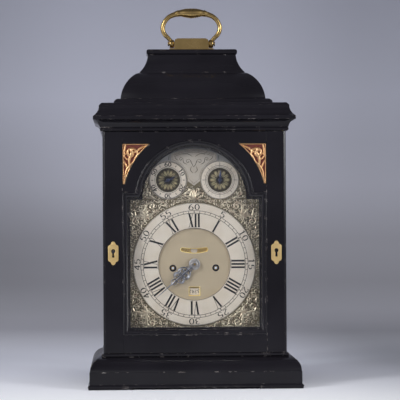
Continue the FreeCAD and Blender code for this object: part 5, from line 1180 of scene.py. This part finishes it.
def build_plaque():
    """Silvered plaque between the small dials, bare but for an engraved border and plain scroll work."""
    mesh = sheet_metal([plaque_line(0)], PLAQUE_LOW.y, PLAQUE_HIGH.y, 0.15)
    piece = finished("arch_plaque_finished", mesh, "dull_silver", "case")
    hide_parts("arch_plaque")
    stems = (
        ((0, 290.0, 0.3), (2.6, 294.6, 0.5), (4.2, 298.8, 0.3)),
        ((9.0, 293.6, 0.3), (13.6, 296.4, 0.5), (14.4, 301.6, 0.3)),
        ((1.0, 282.0, 0.25), (4.4, 286.0, 0.5), (3.0, 291.0, 0.25)),
        ((20.2, 299.0, 0.3), (23.6, 301.0, 0.45), (25.0, 304.4, 0.2)),
        ((2.0, 304.0, 0.25), (8.0, 307.4, 0.45), (15.0, 307.0, 0.25)),
    )
    half = [scroll(7.6, 297.6, 3.6, 0.8, 200, -200, 0.24, 0.5, 30),
            scroll(17.0, 300.4, 2.8, 0.6, 200, -220, 0.24, 0.45, 26)]
    half += [smooth_line(stem) for stem in stems]
    border = plaque_line(1.3)
    lines = [[(x, z, 0.22) for x, z in border + border[:1]]]
    lines += [[(x, z, w * 1.4) for x, z, w in line] for line in both_sides(half)]
    lines += [[(x, z, 0.35) for x, z in arc(0, ARCH_Z, r, 66, 114, 40)] for r in (64.6, 62.8)]
    waxed("arch_plaque_engraving", lines, PLAQUE_LOW.y)

    hatch = []
    for side in (-1, 1):
        hatch += [[(side * x, z, 0.5) for x, z in arc(0, ARCH_Z, r, 30, 62, 30)] for r in (70.2, 68.4)]
        for k in range(13):
            a = radians(36 + k * 2.1)
            hatch.append([(side * (r * cos(a - 0.03 * i)), ARCH_Z + r * sin(a - 0.03 * i), 0.5)
                          for i, r in enumerate((67.6, 65.0, 62.4))])
    kept = [line for line in hatch if all(hypot(abs(x) - SUB_X, z - SUB_Z) > SUB_R + 0.6 for x, z, w in line)]
    waxed("arch_hatching", kept, DIAL_FRONT)


def turned_hand(mesh, body, name, finish, node, angle, cx=0.0, cz=DIAL_Z):
    """Turns a hand drawn upright at the origin to the time it shows, and sets it on its arbor."""
    mesh.transform(Matrix.Translation((cx, 0, cz)) @ Matrix.Rotation(radians(angle), 4, "Y"))
    piece = finished(name, mesh, finish, body, 40)
    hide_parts(node)


def hand_boss(name, body, profile, y, count):
    """The turned boss of a hand at the dial's centre."""
    boss = turned(profile, (0, y, DIAL_Z), count=count, closed=True)
    finished(name, boss, "pale_steel", body, 40)


def build_hands():
    """Pierced steel hands, filed round on their faces."""
    back = RING_FRONT - 1.45
    bars = both_sides([
        scroll(4.4, 17.8, 3.9, 1.3, 200, -170, 1.5, 1.9, 30),
        scroll(5.2, 26.6, 3.6, 1.2, 250, -120, 1.3, 1.9, 30),
        smooth_line([(1.2, 11.0, 1.9), (5.6, 12.6, 1.8), (8.4, 17.0, 1.5), (8.0, 21.4, 1.3),
                     (4.2, 23.4, 1.2)]),
        smooth_line([(1.0, 22.6, 1.6), (4.6, 22.6, 1.5), (8.0, 25.0, 1.3), (8.2, 29.0, 1.2),
                     (4.4, 31.6, 1.2), (1.0, 32.4, 1.4)]),
        smooth_line([(1.0, 31.8, 1.4), (3.6, 34.6, 1.3), (2.6, 38.4, 1.2), (0.5, 40.2, 1.0)]),
    ])
    bars.append([(0, 6.6, 3.2), (0, 12.0, 2.2), (0, 22.6, 2.0), (0, 32.0, 1.8)])
    bars.append([(0, 38.0, 2.2), (0, 43.0, 1.6), (0, 48.8, 0.3)])
    blade = strokes(bars, back, 1.0, 0.35)
    turned_hand(blade, "hour", "hour_hand_pierced", "hand_steel", "hour_hand", HAND_ANGLE)
    profile = [(3.5, 0.0), (3.5, -0.9), (4.2, -1.2), (6.4, -1.2), (7.4, -0.8), (7.6, 0.0)]
    hand_boss("hour_hand_boss", "hour", profile, back, 64)

    back = RING_FRONT - 3.95
    bars = both_sides([
        scroll(2.4, 9.4, 2.3, 0.8, 210, -150, 1.0, 1.3, 26),
        smooth_line([(0.8, 12.4, 1.1), (2.4, 15.4, 1.1), (1.0, 19.0, 0.8)]),
    ])
    bars.append([(0, 4.0, 2.6), (0, 14.0, 2.0), (0, 46.0, 1.5), (0, 60.0, 1.1), (0, 67.2, 0.25)])
    blade = strokes(bars, back, 0.95, 0.3)
    turned_hand(blade, "minute_arbor", "minute_hand_finished", "hand_steel", "minute_hand", HAND_ANGLE)
    profile = [(1.25, 0.0), (1.25, -1.0), (1.9, -2.7), (3.3, -2.6), (3.9, -1.2), (4.5, -0.9), (4.6, 0.0)]
    hand_boss("minute_hand_boss", "minute_arbor", profile, back, 48)

    face = DIAL_FRONT - 2.5
    line = [(0, -5.4, 0.9), (0, -2.0, 1.5), (0, 1.0, 1.9), (0, 5.4, 3.0), (0, 8.6, 1.9), (0, 13.4, 0.3)]
    profile = [(0.0, -1.25), (1.4, -1.2), (2.2, -0.7), (2.3, 0.0), (1.2, 0.0), (1.2, 6.0), (3.4, 6.0),
               (3.4, 6.2), (0.0, 6.2)]
    for side, body, angle in ((-1, "regulation", 66), (1, "strike_silent", 4)):
        mesh = joined(strokes([line], face, 0.7, 0.3), turned(profile, (0, face, 0), count=32))
        node = body + "_hand"
        turned_hand(mesh, body, node + "_finished", "blued_steel", node, angle, side * SUB_X, SUB_Z)


def build_date_ring():
    """Silvered ring behind the date square with the numbers 1 to 31."""
    face = box_mm("date_ring")[0].y
    profile = [(32.2, 0.0), (41.0, 0.0), (41.0, 1.0), (32.2, 1.0)]
    ring = turned(profile, (0, face, DIAL_Z), count=124, closed=True)
    piece = finished("date_ring_finished", ring, "silvered", "date", 25)
    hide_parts("date_ring")
    ink = []
    for day in range(1, 32):
        turn = 180 + (day - DATE_SHOWN) * 360 / 31
        ink += set_round(number_strokes(day, 4.6, 0.75, 0.3), 36.4, turn, 0, DIAL_Z)
    waxed("date_numbers", ink, face, "date")


def build_handle():
    """The cast bail with its swelling grip, turned beads and curled ears."""
    line = [(0, 500.8, 6.8), (8, 501.2, 6.0), (17, 500.8, 4.1), (27.5, 497.4, 3.3), (32.6, 493.8, 3.1),
            (36.4, 489.0, 3.0), (38.7, 482.4, 3.0), (38.2, 476.6, 3.0), (35.6, 471.6, 3.0),
            (31.4, 467.4, 2.8), (26.7, 462.0, 2.6)]
    half = smooth_line(line, 10)
    beads = ((17.5, 0.9), (19.6, 0.6))
    path = []
    for x, z, r in [(-x, z, r) for x, z, r in reversed(half)] + half[1:]:
        swell = sum(rise * max(0.0, 1 - abs(abs(x) - at) / 1.2) for at, rise in beads if z > 490)
        path.append((x, z, r + swell))
    ear = [(2.1, 0.0), (4.6, 0.0), (5.5, 0.7), (5.6, 2.0), (5.6, 4.0), (5.5, 5.3), (4.6, 6.0), (2.1, 6.0)]
    ears = [turned(ear, (x, HANDLE_Y, 459.4), "x", 40, True) for x in (23.7, -29.7)]
    mesh = joined(bent_bar(path, HANDLE_Y, 28), *ears)
    piece = finished("bail", mesh, "gilt_brass", "handle", 50)
    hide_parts("handle_bail")


def bent_bar(path, y, count):
    """A round bar along (x, z, radius) in the plane at y."""
    points = []
    for i, (x, z, r) in enumerate(path):
        before, after = path[max(i - 1, 0)], path[min(i + 1, len(path) - 1)]
        along = Vector((after[0] - before[0], 0, after[1] - before[1])).normalized()
        outward = along.cross(Vector((0, 1, 0)))
        for k in range(count):
            a = 2 * pi * k / count
            points.append(Vector((x, y, z)) + outward * (r * cos(a)) + Vector((0, r * sin(a), 0)))
    faces = band_faces(len(path), count)
    faces.append(tuple(range(count)))
    faces.append(tuple(reversed(range((len(path) - 1) * count, len(path) * count))))
    return mesh_of(points, faces)


# ------------------------------------------------------------------ stage
def lamp(name, place, aim, size, power, colour=(0.97, 0.98, 1.0)):
    data = bpy.data.lights.new(name, "AREA")
    data.shape = "RECTANGLE"
    data.size, data.size_y = size
    data.energy = power
    data.color = colour
    made = bpy.data.objects.new(name, data)
    made.location = place
    made.rotation_euler = (Vector(aim) - Vector(place)).to_track_quat("-Z", "Y").to_euler()
    bpy.context.scene.collection.objects.link(made)
    return made


def lay_paper():
    """A paper sweep: a floor that bends up into a wall behind the clock."""
    floor_width, floor_near, floor_far, wall_high, bend = 3.2, -3.0, 1.1, 3.4, 0.5
    profile = [(floor_near, 0.0), (floor_far, 0.0)]
    profile += [(floor_far + bend * sin(radians(a)), bend * (1 - cos(radians(a)))) for a in range(10, 91, 10)]
    profile += [(floor_far + bend, wall_high)]
    points = [(side * floor_width, y, z) for y, z in profile for side in (-1, 1)]
    faces = [(2 * i, 2 * i + 1, 2 * i + 3, 2 * i + 2) for i in range(len(profile) - 1)]
    sweep = bpy.data.objects.new("paper_sweep", mesh_of(points, faces))
    sweep.data.shade_smooth()
    sweep.data.materials.append(sweep_finish())
    bpy.context.scene.collection.objects.link(sweep)


def sweep_finish():
    """Lilac-grey paper with its light painted in: a painted pool of light near the clock's foot, painted
    shade at the back, lighter again up the wall, and painted shadows beside the clock.
    """
    # painted light: pale where a pool of light is painted near the clock's foot, darker towards the camera
    # and at the foot of the wall, lighter again up the wall
    painted_light_tones = ((-1.5, (100, 101, 108)), (-0.8, (176, 178, 188)), (-0.3, (252, 253, 255)),
             (0.14, (224, 226, 236)), (0.45, (206, 208, 218)), (0.8, (194, 195, 203)),
             (1.13, (174, 174, 181)), (1.45, (147, 147, 153)), (1.65, (153, 153, 160)),
             (1.85, (177, 178, 188)), (2.1, (185, 187, 199)), (2.35, (164, 166, 178)))
    start, length = painted_light_tones[0][0], painted_light_tones[-1][0] - painted_light_tones[0][0]
    f = Finish("lilac_paper")
    x, y, z = f.split(f.place())
    along = f.math("ADD", y, z)
    whole = f.math("DIVIDE", f.math("ADD", along, -start), length)
    tone = f.ramp(whole, *[((at - start) / length, linear(*colour)) for at, colour in painted_light_tones])

    reach = f.math("DIVIDE", f.math("ADD", along, 0.3), 2.65)
    painted_shadows = (  # painted shadows and shade: across, from, to, where along the paper, and by how much
        # painted shade on the wall's sides, the clock's painted shadow on the floor to its right, and painted
        # shade low on the wall at the left
        (f.math("ABSOLUTE", x), 0.14, 0.48, ((0.72, 0.0), (0.86, 1.0)), 0.2),
        (x, 0.1, 0.36, ((0.0, 0.35), (0.22, 1.0), (0.48, 0.75), (0.6, 0.0)), 0.5),
        (x, -0.08, -0.42, ((0.58, 0.0), (0.7, 1.0), (0.78, 0.8), (0.9, 0.0)), 0.26),
    )
    light = 1.0
    for across, near, far, stops, amount in painted_shadows:
        side = f.spread(across, near, far, interpolation_type="SMOOTHSTEP")
        light = f.math("SUBTRACT", light, f.product(side, f.ramp(reach, *stops), amount))
    grey = f.node("ShaderNodeCombineColor", Red=light, Green=light, Blue=light).outputs[0]
    f.shade(Base_Color=f.mix(1.0, tone, grey, "MULTIPLY"),
            Roughness=f.ramp(f.noise(3.0), (0.3, 0.85), (0.7, 0.95)))
    return f.cleared(f.node("ShaderNodeNewGeometry").outputs["Backfacing"])


def light_room(strength):
    """Soft light from all round, brighter from above the horizon than from overhead."""
    world = bpy.data.worlds.new("studio")
    world.use_nodes = True
    w = Wiring(world.node_tree)
    background = w.tree.nodes["Background"]
    height = w.split(w.node("ShaderNodeTexCoord").outputs["Generated"])["Z"]
    fade = w.ramp(height, (0.12, linear(206, 206, 220)), (0.75, linear(120, 120, 130)))
    w.put(fade, background.inputs["Color"])
    w.put(strength, background.inputs["Strength"])
    bpy.context.scene.world = world


def place_camera(distance, lens):
    """A long lens a little to the left of the clock, at half its height."""
    yaw, roll = radians(-2.3), -0.0055
    data = bpy.data.cameras.new("camera")
    data.sensor_width = 36.0
    data.lens = lens
    data.shift_x = 0.0131
    data.shift_y = 0.0375
    camera = bpy.data.objects.new("camera", data)
    camera.location = (distance * sin(yaw), DOOR_FRONT * MM - distance * cos(yaw), 0.2266)
    turn = Matrix.Rotation(yaw, 3, "Z") @ Matrix.Rotation(pi / 2, 3, "X") @ Matrix.Rotation(roll, 3, "Z")
    camera.rotation_euler = turn.to_euler()
    bpy.context.scene.collection.objects.link(camera)
    bpy.context.scene.camera = camera


def build_stage(sizes):
    """Paper, lamps, room light and camera."""
    lay_paper()
    lamp("left_lamp", (-1.9, -1.7, 1.15), (0, 0, 0.25), (0.5, 1.2), sizes.side_lamp)
    lamp("right_lamp", (1.9, -1.5, 0.95), (0, 0, 0.25), (0.5, 1.2), sizes.side_lamp * 0.62)
    overhead = lamp("top_lamp", (-0.1, -0.6, 2.3), (0, -0.1, 0.0), (1.2, 1.0), sizes.top_lamp, (1, 1, 1))
    overhead.visible_glossy = False
    light_room(sizes.ambient)
    place_camera(sizes.camera_distance, sizes.lens)
    bpy.context.scene.view_settings.view_transform = "Standard"


# ------------------------------------------------------------------ settings, operators and panel
class ClockColours(bpy.types.PropertyGroup):
    varnish: FloatVectorProperty(name="Varnish", description="Black varnish of the case", subtype="COLOR",
                                 size=4, default=(0.0088, 0.0080, 0.0105, 1.0), min=0.0, max=1.0)
    matted: FloatVectorProperty(name="Matted brass", description="Stippled centre of the dial",
                                subtype="COLOR", size=4, default=linear(183, 165, 139), min=0.0, max=1.0)
    silver: FloatVectorProperty(name="Silvering", description="Hour ring, small dials and plaque",
                                subtype="COLOR", size=4, default=linear(222, 208, 193), min=0.0, max=1.0)
    silk: FloatVectorProperty(name="Silk", description="Cloth behind the frets", subtype="COLOR",
                              size=4, default=linear(104, 42, 30), min=0.0, max=1.0)


class ClockStage(bpy.types.PropertyGroup):
    camera_distance: FloatProperty(name="Camera distance", description="From the camera to the door's face",
                                   default=2.2, min=0.5, max=10.0, unit="LENGTH")
    lens: FloatProperty(name="Lens", description="Focal length in millimetres",
                        default=151.1, min=20.0, max=400.0)
    side_lamp: FloatProperty(name="Side lamps", description="Power of the left lamp",
                             default=40.0, min=0.0, max=500.0, unit="POWER")
    top_lamp: FloatProperty(name="Top lamp", description="Power of the lamp overhead",
                            default=19.0, min=0.0, max=500.0, unit="POWER")
    ambient: FloatProperty(name="Room light", description="Strength of the light from all round",
                           default=0.5, min=0.0, max=5.0)


class CLOCK_OT_finishes(bpy.types.Operator):
    """Makes every material and gives the construction pieces theirs"""
    bl_idname = "clock.finishes"
    bl_label = "Finishes"

    def execute(self, context):
        build_finishes(context.scene.clock_colours)
        finish_frame()
        return {"FINISHED"}


class CLOCK_OT_stage(bpy.types.Operator):
    """Lays the paper sweep and sets up the lamps and the camera"""
    bl_idname = "clock.stage"
    bl_label = "Stage"

    def execute(self, context):
        build_stage(context.scene.clock_stage)
        return {"FINISHED"}


class CLOCK_OT_door_mouldings(bpy.types.Operator):
    """Builds the moulding round the door glass and the keyhole plates"""
    bl_idname = "clock.door_mouldings"
    bl_label = "Door moulding and keyhole plates"

    def execute(self, context):
        build_sight_moulding()
        build_escutcheons()
        return {"FINISHED"}


class CLOCK_OT_frets(bpy.types.Operator):
    """Builds the pierced corner frets and the silk behind them"""
    bl_idname = "clock.frets"
    bl_label = "Frets and silk"

    def execute(self, context):
        build_frets()
        return {"FINISHED"}


class CLOCK_OT_dial(bpy.types.Operator):
    """Builds the dial plate, hour ring, date ring and small dials with their numerals"""
    bl_idname = "clock.dial"
    bl_label = "Dial"

    def execute(self, context):
        build_dial_plate()
        build_openings()
        build_chapter_ring()
        build_date_ring()
        build_small_dials()
        build_plaque()
        return {"FINISHED"}


class CLOCK_OT_castings(bpy.types.Operator):
    """Builds the cast ornaments in the dial's corners and arch"""
    bl_idname = "clock.castings"
    bl_label = "Castings"

    def execute(self, context):
        build_corner_castings()
        build_arch_castings()
        return {"FINISHED"}


class CLOCK_OT_hands(bpy.types.Operator):
    """Builds the hour, minute and small hands"""
    bl_idname = "clock.hands"
    bl_label = "Hands"

    def execute(self, context):
        build_hands()
        return {"FINISHED"}


class CLOCK_OT_handle(bpy.types.Operator):
    """Builds the carrying handle"""
    bl_idname = "clock.handle"
    bl_label = "Handle"

    def execute(self, context):
        build_handle()
        return {"FINISHED"}


STEPS = (CLOCK_OT_finishes, CLOCK_OT_stage, CLOCK_OT_door_mouldings, CLOCK_OT_frets, CLOCK_OT_dial,
         CLOCK_OT_castings, CLOCK_OT_hands, CLOCK_OT_handle)


class CLOCK_PT_panel(bpy.types.Panel):
    bl_label = "Bracket clock"
    bl_space_type = "VIEW_3D"
    bl_region_type = "UI"
    bl_category = "Clock"

    def draw(self, context):
        scene = context.scene
        for settings in (scene.clock_colours, scene.clock_stage):
            for name in settings.__annotations__:
                self.layout.prop(settings, name)
        for operator in STEPS:
            self.layout.operator(operator.bl_idname)


CLASSES = (ClockColours, ClockStage, *STEPS, CLOCK_PT_panel)


def register():
    for item in CLASSES:
        bpy.utils.register_class(item)
    bpy.types.Scene.clock_colours = PointerProperty(type=ClockColours)
    bpy.types.Scene.clock_stage = PointerProperty(type=ClockStage)


def unregister():
    del bpy.types.Scene.clock_stage
    del bpy.types.Scene.clock_colours
    for item in reversed(CLASSES):
        bpy.utils.unregister_class(item)


def main():
    register()
    for operator in STEPS:
        group, name = operator.bl_idname.split(".")
        getattr(getattr(bpy.ops, group), name)()


if __name__ == "__main__":
    main()
